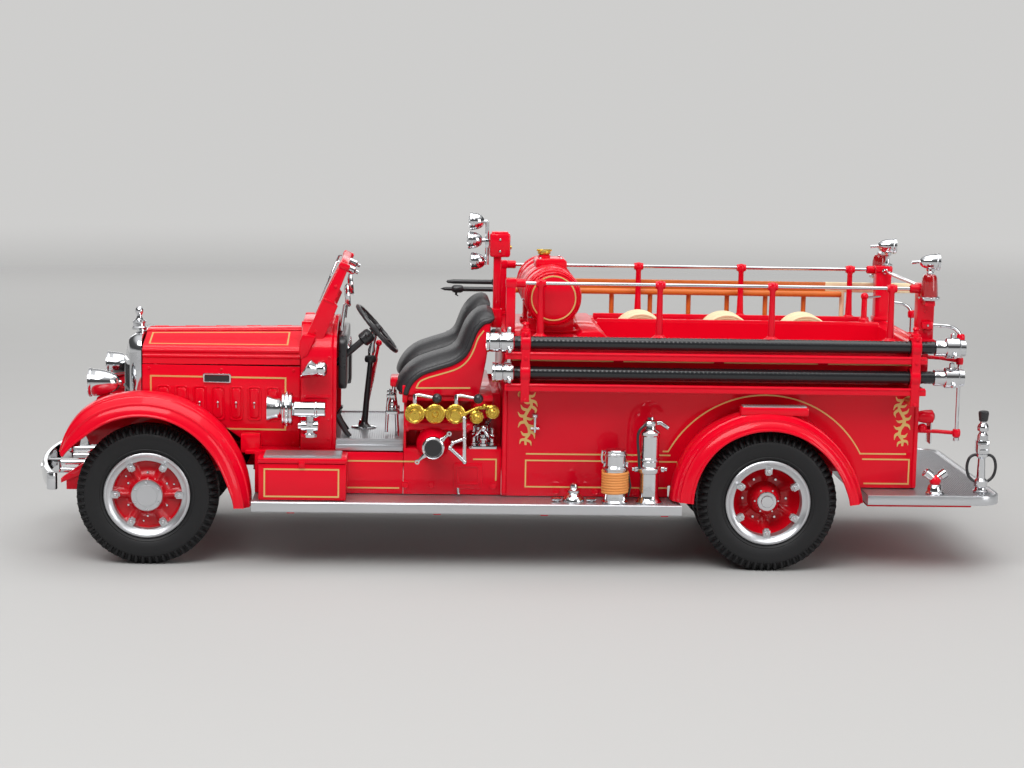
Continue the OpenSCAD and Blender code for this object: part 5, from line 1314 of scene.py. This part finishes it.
part.box("red", (1, RAIL_Y - 1.6, RAIL_Z - 1.4), (4.4, RAIL_Y + 1.6, RAIL_Z + 1.4), 0.6)
part.lathe("red", [(0.56, -1.7), (1.15, -1.6), (1.3, -1.2), (1.3, 2.4), (0.56, 2.4)], (0, RAIL_Y, RAIL_Z),
    "x", 24, ring=True)
part.box("red", (1, RAIL_Y - 1.8, DECK_TOP), (4.6, RAIL_Y + 1.8, DECK_TOP + 1.2), 0.3)
part.mirror().make("rail_stanchions")

LOOP_X, LOOP_Y = -133.3, 33.9
part = Part("rail_tubes")
part.tube("chrome", [(-119.9, RAIL_Y, RAIL_Z), (1.2, RAIL_Y, RAIL_Z)], 0.55, 20)
bend = [(-121.4, 74.4), (-126.5, 74.3), (-130.6, 73.8), (-132.8, 72), (LOOP_X, 69.4)]
part.tube("chrome", spline([(x, LOOP_Y, z) for x, z in bend], 5) + [(LOOP_X, LOOP_Y, 41)], 0.58, 16)
for z in (70.6, 41.6):
    part.lathe("red", [(0, -1.3), (1, -1.2), (1.25, -0.6), (1.25, 0.6), (1, 1.2), (0, 1.3)],
        (LOOP_X, LOOP_Y, z), "z", 20)
part.lathe("chrome", [(0.75, -2.4), (0.95, -2.2), (0.95, -1.4), (0, -1.3)], (LOOP_X, LOOP_Y, 41.6), "z", 16)
part.lathe("red", [(1, -1), (1.15, 0), (1, 1), (0, 1)], (LOOP_X, LOOP_Y, 63.6), "z", 20)
for y, *heights in ((31.2, 41.6, 41.6, 41.6), (31.4, 63.6, 64.2, 64.4)):
    part.tube("red", list(zip((LOOP_X, -128, BODY_REAR), (LOOP_Y, y, 30.6), heights)), 0.6)
part.box("red", (-124.6, 33, 73.2), (-121.2, 34.9, 75.5), 0.4)
part.bolt("chrome", (-122.9, 34.9, 74.4), (0, 1, 0), 0.4, 0.3)
part.lathe("chrome", [(0.9, 0), (1, 0.5), (0.9, 1.2), (0.6, 1.3)], (-122.5, 28.6, RAIL_Z), (0, -1, 0), 20)
part.mirror().tube("chrome", [(-122.5, -28.5, RAIL_Z), (-122.5, 28.5, RAIL_Z)], 0.6, 20)
part.make("hand_rails")

HOSE_Y, HOSE_R = 38, 1.9
HOSE_Z = (68, 59)
part = Part("suction_hose_pair")
for z in HOSE_Z:
    profile = [(0, -124.6), (HOSE_R, -124.6)]
    for k in range(96):
        x = -124 + 126 * k / 96
        profile += [(HOSE_R - 0.07, x), (HOSE_R, x + 0.35), (HOSE_R, x + 0.9)]
    profile += [(HOSE_R, 2.4), (0, 2.4)]
    part.lathe("hose", profile, (0, HOSE_Y, z), "x", 32)
part.make("suction_hoses")

part = Part("coupling_set")
for z in HOSE_Z:
    reach = 1.3 if z == max(HOSE_Z) else 1
    part.lathe("chrome", [(r, 1.6 + (t - 1.6) * reach)
        for r, t in ((2, 1.6), (2.7, 1.7), (3.05, 2), (3.1, 2.3), (3.1, 4.4), (2.95, 4.7), (2.6, 4.8),
        (2.6, 5), (2.85, 5.2), (2.9, 5.5), (2.9, 7), (2.75, 7.3), (3, 7.5), (3, 8.1), (2.2, 8.1), (2.1, 7),
        (0, 7))], (0, HOSE_Y, z), "x", 48)
    part.lathe("chrome", [(2, -124.4), (2.4, -124.6), (2.5, -125.2), (2.5, -127.2), (2.7, -127.6),
        (3.05, -127.9), (3.1, -128.3), (3.1, -131.6), (2.9, -131.9), (2.6, -132), (2.5, -133.6), (0, -133.8)],
        (0, HOSE_Y, z), "x", 48)
    for dy, dz in around(3, 1, 0.75):
        for x in (3.2, -130):
            part.lathe("chrome", [(0.8, 0), (0.8, 1.2), (0.5, 1.6), (0, 1.7)],
                (x, HOSE_Y + 3 * dy, z + 3 * dz), (0, dy, dz), 16)
    for dy, dz in around(20, 3.05):
        part.box("chrome", (2.5, HOSE_Y + dy - 0.12, z + dz - 0.12), (4.2, HOSE_Y + dy + 0.12, z + dz + 0.12),
            0)
part.make("hose_couplings")

part = Part("bracket_straps")
cad_copy(part, "red", "hose_brackets", 0.45)
for x in (-1.6, -118.6):
    for z in (51, 63.6, 70.8):
        part.bolt("red", (x, 40.75, z), "y", 0.55, 0.4)
    for z in HOSE_Z:
        part.lathe("red", [(3, -1.5), (3.35, -1.2), (3.35, 1.2), (3, 1.5), (2.3, 1.5), (2.3, -1.5)],
            (x, HOSE_Y, z), "x", 40, ring=True)
    part.lathe("red", [(1.5, 0), (1.5, 0.8), (0.9, 1.2), (0.8, 2), (1.1, 2.4), (0.8, 3), (0, 3.1)],
        (x, 38.4, 71.2), "z", 20)
part.make("hose_brackets")

# ---------- ladder and pike pole ----------

LADDER_Y, LADDER_Z = -38, (62, 78.8)
PAINT_X, RUNGS, RUNG_PITCH, POLE = -104.4, 10, 12.8, (0, LADDER_Y + 2.2, 76.6)
part = Part("ladder_frame")
for z in LADDER_Z:
    part.box("wood", (PAINT_X - 1, LADDER_Y - 0.9, z - 1.6), (4, LADDER_Y + 0.9, z + 1.6), 0.35)
    part.box("cream", (-136, LADDER_Y - 0.95, z - 1.65), (PAINT_X, LADDER_Y + 0.95, z + 1.65), 0.5)
    part.lathe("black", [(0, 3.2), (1.3, 3.2), (1.35, 5.4), (0.8, 6), (0.75, 18.6), (0.5, 20.6), (0, 21)],
        (0, LADDER_Y, z), "x", 20)
    for x in (-116, -122, -132):
        part.bolt("chrome", (x, LADDER_Y + 0.95, z), "y", 0.45, 0.3)
for k in range(RUNGS):
    x = 4.6 - RUNG_PITCH * (k + 1)
    part.lathe("cream" if x < -106 else "wood", [(0.95, 63.4), (0.8, 64.4), (0.8, 76.4), (0.95, 77.4)],
        (x, LADDER_Y, 0), "z", 16)
part.make("ladder")

part = Part("pike_pole_shaft")
part.lathe("wood", [(0, -110), (0.85, -109.9), (1, -109.4), (1, 3.6), (0, 3.6)], POLE, "x", 20)
part.lathe("black", [(0, 3.2), (0.95, 3.2), (0.95, 5.4), (0.8, 5.8), (0.8, 15.4), (1.15, 15.8), (1.3, 16.4),
    (1.3, 18.2), (1.1, 18.8), (0.7, 19.2), (0.55, 21.6), (0, 23)], POLE, "x", 20)
hook = [(17.4, 0), (17.8, -1.8), (17, -2.4)]
part.tube("black", [(x, POLE[1], POLE[2] + z) for x, z in hook], [0.5, 0.4, 0.15])
part.make("pike_pole", slot="black_plastic")

# ---------- posts, mast and lamps ----------

POST_X, LAMP_Y = -122.5, 36.4
part = Part("rear_post_set")
cad_copy(part, "red", "rear_posts", 0.35)
caps = Part("post_caps")
caps.box("red", (POST_X - 2.8, 28.3, 84.6), (POST_X + 2.8, 33.5, 86.8), 0.5)
caps.box("red", (POST_X - 3, 28.2, DECK_TOP), (POST_X + 3, 33.6, DECK_TOP + 1.4), 0.4)
caps.lathe("red", [(0.56, 0), (1.3, 0.1), (1.3, 2.6), (0.9, 2.9)], (-120.3, RAIL_Y, RAIL_Z), "x", 20,
    ring=True)
for z in (72.5, 78.5):
    caps.bolt("red", (POST_X, 33.2, z), (0, 1, 0), 0.5, 0.3, 12)
part.join(caps.mirror())
part.tube("chrome", [(-115.6, -25, 76.6), (-119.8, -27.8, 76.8), (-121.6, -29, 76.8)], 0.4)
part.lathe("red", [(1.7, 0), (1.6, 0.9), (1.1, 1.4)], (-115.6, -25, DECK_TOP), "z", 20)
part.ball("red", (-115.6, -25, 77.1), 1.25, 20)
part.make("rear_posts")

TAIL_Y, SPOT_Y = 30.4, 31


def flute(k, r, t):
    """Shallow flutes round a warning lamp's lens."""
    return (r - 0.1 * (k % 6 < 2) if 84 < t < 89 else r), t


part = Part("red_lamp_set")
c = (POST_X, LAMP_Y, 0)
part.lathe("lens", [(0, 83.3), (2.6, 83.3), (2.62, 83.9), (2.5, 85.5), (2.35, 87.6), (2.2, 89), (1.9, 89.7),
    (1.3, 90), (0, 90.05)], c, "z", 72, shape=flute)
part.lathe("chrome", [(1, 90), (1.1, 90.5), (0.8, 90.9), (0, 91)], c, "z", 24)
# tail lamp
part.lathe("red", [(0, 0), (1.5, 0), (1.7, 0.6), (2, 2), (2.1, 4.2), (1.9, 4.6), (1.7, 4.6)],
    (BODY_REAR, TAIL_Y, 46), (-1, 0, 0), 32)
part.lathe("lens", [(1.75, 4.3), (1.6, 4.7), (1, 5.2), (0, 5.4)], (BODY_REAR, TAIL_Y, 46), (-1, 0, 0), 32)
part.ball("red", (BODY_REAR - 1.6, TAIL_Y, 42.4), 1.5, 20)
part.mirror()
# blank plate beside the left tail lamp
part.prism("chrome", "x", rounded((25.6, 37.6), (31.4, 44.6), 0.5), BODY_REAR - 4.4, BODY_REAR - 3.9, 0.15)
part.tube("red", [(BODY_REAR, 29, 42.4), (BODY_REAR - 4, 29, 42.2)], 0.7)
part.make("warning_lamps", slot="red_lens")

part = Part("spotlight_set")
part.lathe("chrome", [(0, 81.9), (2.2, 82), (3, 82.3), (3.15, 82.7), (3.1, 83.2), (2.7, 83.4), (0, 83.4)], c,
    "z", 48)
for dx, dy in around(8, 2.95):
    part.ball("chrome", (POST_X + dx, LAMP_Y + dy, 82.8), 0.4, 10)
part.lathe("chrome", [(1.7, 0), (1.7, 0.5), (0.8, 0.9), (0.65, 1.6), (0.65, 3.2), (1.2, 3.6), (1.4, 4.4),
    (0.9, 5)], (POST_X - 1.4, SPOT_Y, 86.7), "z", 24)
lamp(part, (POST_X - 4, SPOT_Y, 93.2), 2.55, 5.9, facing=-1)
part.tube("chrome", [(POST_X + 2.2, SPOT_Y, 93.2), (POST_X + 4.4, SPOT_Y, 93)], [0.45, 0.55])
part.mirror()
MAST_LAMP_X = 9.2
for x, z in ((14.1, 89.3), (15.1, 95.8), (14.6, 101.6)):
    lamp(part, (x, 5, z), 2.75, 4.3)
    part.tube("chrome", [(x - 4.4, 5, z), (MAST_LAMP_X, 5, z)], 0.6)
part.tube("chrome", [(MAST_LAMP_X, 5, 88.2), (MAST_LAMP_X, 5, 101.6)], 0.62, 16)
part.box("chrome", (MAST_LAMP_X - 1, 4.2, 93.4), (MAST_LAMP_X + 0.6, 5.8, 96.2), 0.3)
part.make("spotlights")

part = Part("lamp_mast_post")
part.box("red", (4.7, 3, DECK_TOP), (7.1, 6, 91), 0.35)
part.box("red", (4.2, 2.4, DECK_TOP), (7.6, 6.6, 74.6), 0.4)
part.box("red", (2, 1.6, 90.7), (8.4, 7.4, 98.1), 0.8)
part.box("red", (2.6, 2.2, 97.6), (7.8, 6.8, 98.5), 0.35)
part.box("red", (2.2, 1.3, 91.8), (8.2, 1.8, 97), 0.2)
part.lathe("brass", [(0.6, 0), (0.6, 0.4), (0, 0.6)], (2, 4.5, 93.6), (-1, 0, 0), 16)
for z in (92.6, 96.2):
    part.bolt("chrome", (5.2, 7.4, z), "y", 0.4, 0.3)
part.make("lamp_mast")

# ---------- extinguishers and hose fittings ----------

part = Part("extinguisher_pair")
part.put(-29.2, 40, BOARD_TOP)
part.lathe("chrome", [(0, -0.3), (3.9, -0.3), (4, 0.3), (3.6, 0.8), (3.4, 2.6), (3.4, 9.8), (3.8, 10),
    (3.9, 10.6), (3.6, 11), (3.4, 11.3), (3.35, 14.2), (3.5, 14.4), (3.5, 14.9), (3.35, 15.1), (3.3, 15.7),
    (3, 16), (0, 16.1)], steps=48)
TURNS, STEPS_A_TURN, ROPE_LOW, ROPE_RISE = 8, 28, 3.15, 6.3
around_can = around(STEPS_A_TURN, 3.65) * TURNS + around(STEPS_A_TURN, 3.65)[:1]
part.tube("orange", [(x, y, ROPE_LOW + ROPE_RISE * k / (TURNS * STEPS_A_TURN))
    for k, (x, y) in enumerate(around_can)], 0.5, 8)
for x in (-3.2, 3.2):
    part.box("chrome", (x - 0.5, -0.5, 9.8), (x + 0.5, 1.2, 12.4), 0.25)
part.tube("chrome", [(3.2, 0, 15.4), (4, 0, 15.6), (4.2, 0, 13.6), (3.9, 0, 12), (3.2, 0, 11.9)], 0.35)
part.tube("black", [(-3.9, 0.5, 9), (-4.6, 0.6, 5), (-4, 0.8, 2)], 0.3, 8)
part.put(-39.4, 40, BOARD_TOP)
part.lathe("chrome", [(0, -0.3), (3.9, -0.3), (4, 0.3), (3.6, 0.7), (3.1, 1.4), (2.9, 2.2), (2.9, 8.9),
    (3.5, 9.2), (3.7, 9.8), (3.7, 10.5), (3.4, 10.9), (2.9, 11.1), (2.85, 12.6), (3.1, 12.9), (3.1, 13.5),
    (2.9, 13.8), (2.85, 20.2), (3.15, 20.6), (3.15, 21.4), (2.7, 21.9), (1.9, 22.4), (1.75, 23), (2.1, 23.4),
    (2.2, 24.2), (1.9, 24.8), (1.2, 25.2), (1, 25.9), (0, 26.1)], steps=48)
part.tube("chrome", [(0, 0, 24), (-3, 0, 24.2), (-5.4, 0, 22.6)], [0.8, 0.7, 0.6], 14)
part.tube("black", spline([(1.6, 1.5, 24), (3.8, 1.8, 21), (3.4, 1.8, 14), (3.1, 1.5, 10.6)]), 0.42, 10)
for sx in (-1, 1):
    part.lathe("chrome", [(0.9, 3.2), (0.9, 4.4), (0.6, 4.6), (0.6, 5.2), (0, 5.3)], (0, 0, 10.1), (sx, 0, 0),
        16)
part.mirror().make("extinguishers")

part = Part("fittings_set")
# low nozzle on the running board, between two clips
part.put(-17, 38, BOARD_TOP)
part.lathe("chrome", [(0, -0.3), (3.3, -0.3), (3.3, 0.3), (3, 0.9), (2.5, 1.5), (1.9, 1.9), (1.7, 2.3),
    (1.95, 2.5), (1.95, 3.1), (1.5, 3.4), (1.25, 3.8), (1.35, 4.4), (1.1, 5), (0.6, 5.3), (0, 5.4)], steps=36)
for x in (-5.2, 5.2):
    part.box("chrome", (x - 1.5, -0.4, 0.2), (x + 1.5, 2.2, 0.9), 0.25)
    part.lathe("chrome", [(0.9, 0), (0.9, 0.4), (0, 0.4)], (x, 0.9, -0.15), "z", 20)
# tall nozzle on the rear step, with its two looped handles
part.put(-140.9, 36, STEP_TOP)
part.lathe("chrome", [(0, -0.4), (2.3, -0.4), (2.3, 0.4), (1.8, 0.8), (1.7, 1.4), (2.1, 1.7), (2.1, 3.4),
    (1.7, 3.8), (1.35, 4.2), (1.1, 10.2), (1.5, 10.6), (1.9, 10.9), (1.9, 11.6), (1.6, 11.9)], steps=36)
part.box("chrome", (-1.9, -1.9, 11.7), (1.9, 1.9, 16), 0.6)
for z in (12.8, 14.6):
    part.box("chrome", (-1.2, 1.8, z - 0.5), (1.2, 2.1, z + 0.5), 0.2)
part.lathe("chrome", [(1.7, 15.8), (1.6, 17.4), (1.2, 17.9), (1.1, 18.4), (1.7, 18.8), (1.8, 19.8),
    (1.5, 20.6), (1, 21.2), (1, 21.8)], steps=32)
part.lathe("black", [(1.1, 21.6), (1.35, 21.9), (1.6, 24), (1.5, 24.6), (1.1, 24.8), (0, 24.8)], steps=32)
handle = spline([(0, 10.9), (2.2, 11.3), (3.8, 10.2), (4.4, 7.6), (3.8, 4.9), (2.2, 3.3), (0, 2.6)], 5)
for sx in (-1, 1):
    part.tube("black", [(sx * a, 0, b) for a, b in handle], 0.45)
# two-way branch at the step's front
part.put(-126, 40, STEP_TOP)
part.lathe("chrome", [(0, -0.4), (2.8, -0.4), (2.8, 0.3), (2.4, 0.7), (2.3, 1.6), (1.9, 2.6), (1.5, 2.9)],
    steps=36)
part.ball("red", (0, 0, 4), 1.75, 24)
for sx in (-1, 1):
    part.lathe("chrome", [(0, 1), (1.15, 1.1), (1.15, 1.7), (1.45, 1.9), (1.45, 3.9), (1.2, 4.1), (0.9, 4.1),
        (0.8, 3.4), (0, 3.4)], (0, 0, 4.2), (sx, 0, 0.75), 28)
part.make("hose_fittings", slot="chrome")

# ---------- frame, engine and running gear, built on their CAD solids ----------

def horn(x, y, z):
    """Frame horns that drop and thin towards their front ends."""
    t = min(1, max(0, (x - 121) / 18))
    return x, y, 18.3 + (z - 18.3) * (1 - 0.75 * t ** 1.3)


part = Part("chassis_rails")
cad_copy(part, "red", "chassis_frame", 0.15, slices=(121, 124, 127, 130, 133, 136), bend=horn)
part.make("chassis_frame")
# The engine: block, rocker cover, plugs and wires, filter, manifolds, carburettor, top hose and fan
FIRST_PLUG, PLUG_PITCH, FAN_Z = 77.5, 5, 50
part = Part("engine_block")
cad_copy(part, "grey", "engine", 0.8)
part.box("black", (75, -4, 57.6), (105, 4, 61.4), 1.2)
for x in (80, 90, 100):
    part.bolt("chrome", (x, 0, 61.4), "z", 0.8, 0.6)
part.lathe("satin", [(1.6, 0), (1.7, 0.9), (1.2, 1.3), (0, 1.4)], (101, 0, 61.3), "z", 24)
for k in range(6):
    x = FIRST_PLUG + PLUG_PITCH * k
    part.lathe("satin", [(0.8, 0), (0.8, 0.7), (0.5, 0.8), (0.5, 2.2), (0, 2.3)], (x, 6.4, 57.9), "z", 12)
    part.tube("black", [(x, 6.4, 60), (x - 0.6, 7.6, 61), (86, 8.2, 60.6 - 0.15 * k), (90, 10.6, 57)], 0.3, 8)
    part.box("grey", (x - 0.5, -9.7, 36), (x + 0.5, -8.9, 46), 0.2)
    part.tube("steel", [(x, 8.6, 51.4), (x, 10.4, 50)], 0.9)
part.lathe("black", [(1.9, 0), (1.9, 3.2), (1.4, 4), (0, 4.1)], (90, 11, 53.5), "z", 28)
part.lathe("grey", [(1.1, 0), (1.1, 9)], (90, 11, 45), "z", 20)
part.tube("steel", [(75, 10.4, 50), (87, 10.6, 49.4), (106, 10.4, 50)], 1.3, 16)
part.tube("steel", [(76, -10.6, 51), (104, -10.6, 51)], 1.3, 16)
part.lathe("satin", [(1.8, 0), (2.2, 0.6), (2.2, 3.4), (1.5, 3.8), (1.5, 4.6), (3.2, 4.8), (3.2, 6.4),
    (2.6, 7), (0, 7.2)], (90, -12.4, 48), "z", 28)
part.tube("black", spline([(104, 0, 60), (109, 0, 61.2), (113.6, 0, 61.4)], 5), 1.4, 16)
part.lathe("steel", [(0, 107.8), (1.6, 107.9), (1.6, 110.6), (0, 110.8)], (0, 0, FAN_Z), "x", 24)
for k in range(4):
    part.put(0, 0, FAN_Z, "x", 90 * k + 20)
    part.prism("grey", "y", [(109.2, 1), (110.4, 1), (110.8, 7.8), (109.4, 7.8)], -1.4, 1.4, 0.2)
part.make("engine")
for name, mat, node in (("front_axle_beam", "steel", "front_axle"), ("spring_leaves", "red", "leaf_springs"),
        ("rear_axle_housing", "steel", "rear_axle"), ("gearbox_and_shaft", "grey", "drivetrain"),
        ("exhaust_pipe", "grey", "exhaust")):
    plain(name, mat, node)
for name, node in (("tie_rod_bar", "tie_rod"), ("front_left_knuckle_forging", "front_left_knuckle"),
        ("front_right_knuckle_forging", "front_right_knuckle")):
    plain(name, "steel", node, node)

# ---------- stage, light and camera ----------

floor_mesh = bpy.data.meshes.new("floor")
floor_mesh.from_pydata([(-4, -4, 0), (4, -4, 0), (4, 4, 0), (-4, 4, 0)], [], [(0, 1, 2, 3)])
floor_paper = finish("floor_paper", (0.42, 0.417, 0.41), 0.75, tint=0.02, grain=40, relief=0.02, broad=2)
# the floor fades into the world's horizon colour well away from the engine
tree = floor_paper.node_tree
coords = add_node(tree, "TexCoord").outputs["Object"]
far = add_node(tree, "VectorMath", {0: coords}, operation="LENGTH").outputs["Value"]
fade = add_node(tree, "MapRange", {"From Min": 0.35, "From Max": 1.5, "Value": far},
    interpolation_type="SMOOTHSTEP")
clear = add_node(tree, "BsdfTransparent").outputs[0]
blend = add_node(tree, "MixShader", {0: fade.outputs["Result"], 1: tree.nodes["Principled BSDF"].outputs[0],
    2: clear})
fill(tree, tree.nodes["Material Output"], {"Surface": blend.outputs[0]})
floor_mesh.materials.append(floor_paper)
floor = bpy.data.objects.new("floor", floor_mesh)
bpy.context.scene.collection.objects.link(floor)


for name, place, target, size, power in (("key_light", (0.25, 0.55, 0.75), (0, 0, 0.05), (0.7, 0.45), 6),
        ("top_light", (-0.15, 0, 0.9), (0, 0, 0), (0.9, 0.7), 4),
        ("side_light", (-0.7, 0.6, 0.35), (-0.05, 0, 0.05), (0.4, 0.5), 2.2),
        ("back_light", (0.1, -0.9, 0.25), (0, 0, 0.05), (0.9, 0.2), 0.9)):
    light = bpy.data.lights.new(name, "AREA")
    light.shape, light.size, light.size_y = "RECTANGLE", *size
    light.energy = power
    obj = bpy.data.objects.new(name, light)
    obj.location = place
    obj.rotation_mode = "QUATERNION"
    obj.rotation_quaternion = (Vector(target) - Vector(place)).to_track_quat("-Z", "Y")
    bpy.context.scene.collection.objects.link(obj)

# World: pale at the horizon, dark above it and bright overhead
world = bpy.data.worlds.new("studio")
bpy.context.scene.world = world
world.use_nodes = True
tree = world.node_tree
split = add_node(tree, "SeparateXYZ", {"Vector": add_node(tree, "TexCoord").outputs["Generated"]})
ramp = add_node(tree, "ValToRGB", {"Fac": split.outputs["Z"]})
stops = ramp.color_ramp.elements
stops[0].position, stops[0].color = 0.06, (0.62, 0.616, 0.608, 1)
stops[1].position, stops[1].color = 0.95, (1, 1, 1, 1)
for height, level in ((0.15, 0.07), (0.48, 0.1), (0.72, 0.7)):
    stops.new(height).color = (level, level, level, 1)
fill(tree, tree.nodes["Background"], {"Color": ramp.outputs["Color"], "Strength": 1})

# Camera three quarters of a metre to the engine's left, a little above it
CAMERA_PLACE = (0.03279, 0.70049, 0.14744)
YAW, PITCH, ROLL = 0.0462, 0.1378, 0.0189
ahead = Vector((-sin(YAW) * cos(PITCH), -cos(YAW) * cos(PITCH), -sin(PITCH)))
level = ahead.cross(Vector((0, 0, 1))).normalized()
upright = level.cross(ahead)
right = level * cos(ROLL) + upright * sin(ROLL)
up = upright * cos(ROLL) - level * sin(ROLL)
camera_data = bpy.data.cameras.new("camera")
camera_data.lens, camera_data.sensor_width = 78.95, 36
camera_data.clip_start, camera_data.clip_end = 0.01, 20
camera = bpy.data.objects.new("camera", camera_data)
turn = Matrix((right, up, -ahead)).transposed().to_4x4()
camera.matrix_world = Matrix.Translation(CAMERA_PLACE) @ turn
bpy.context.scene.collection.objects.link(camera)
bpy.context.scene.camera = camera
bpy.context.scene.view_settings.view_transform = "Standard"
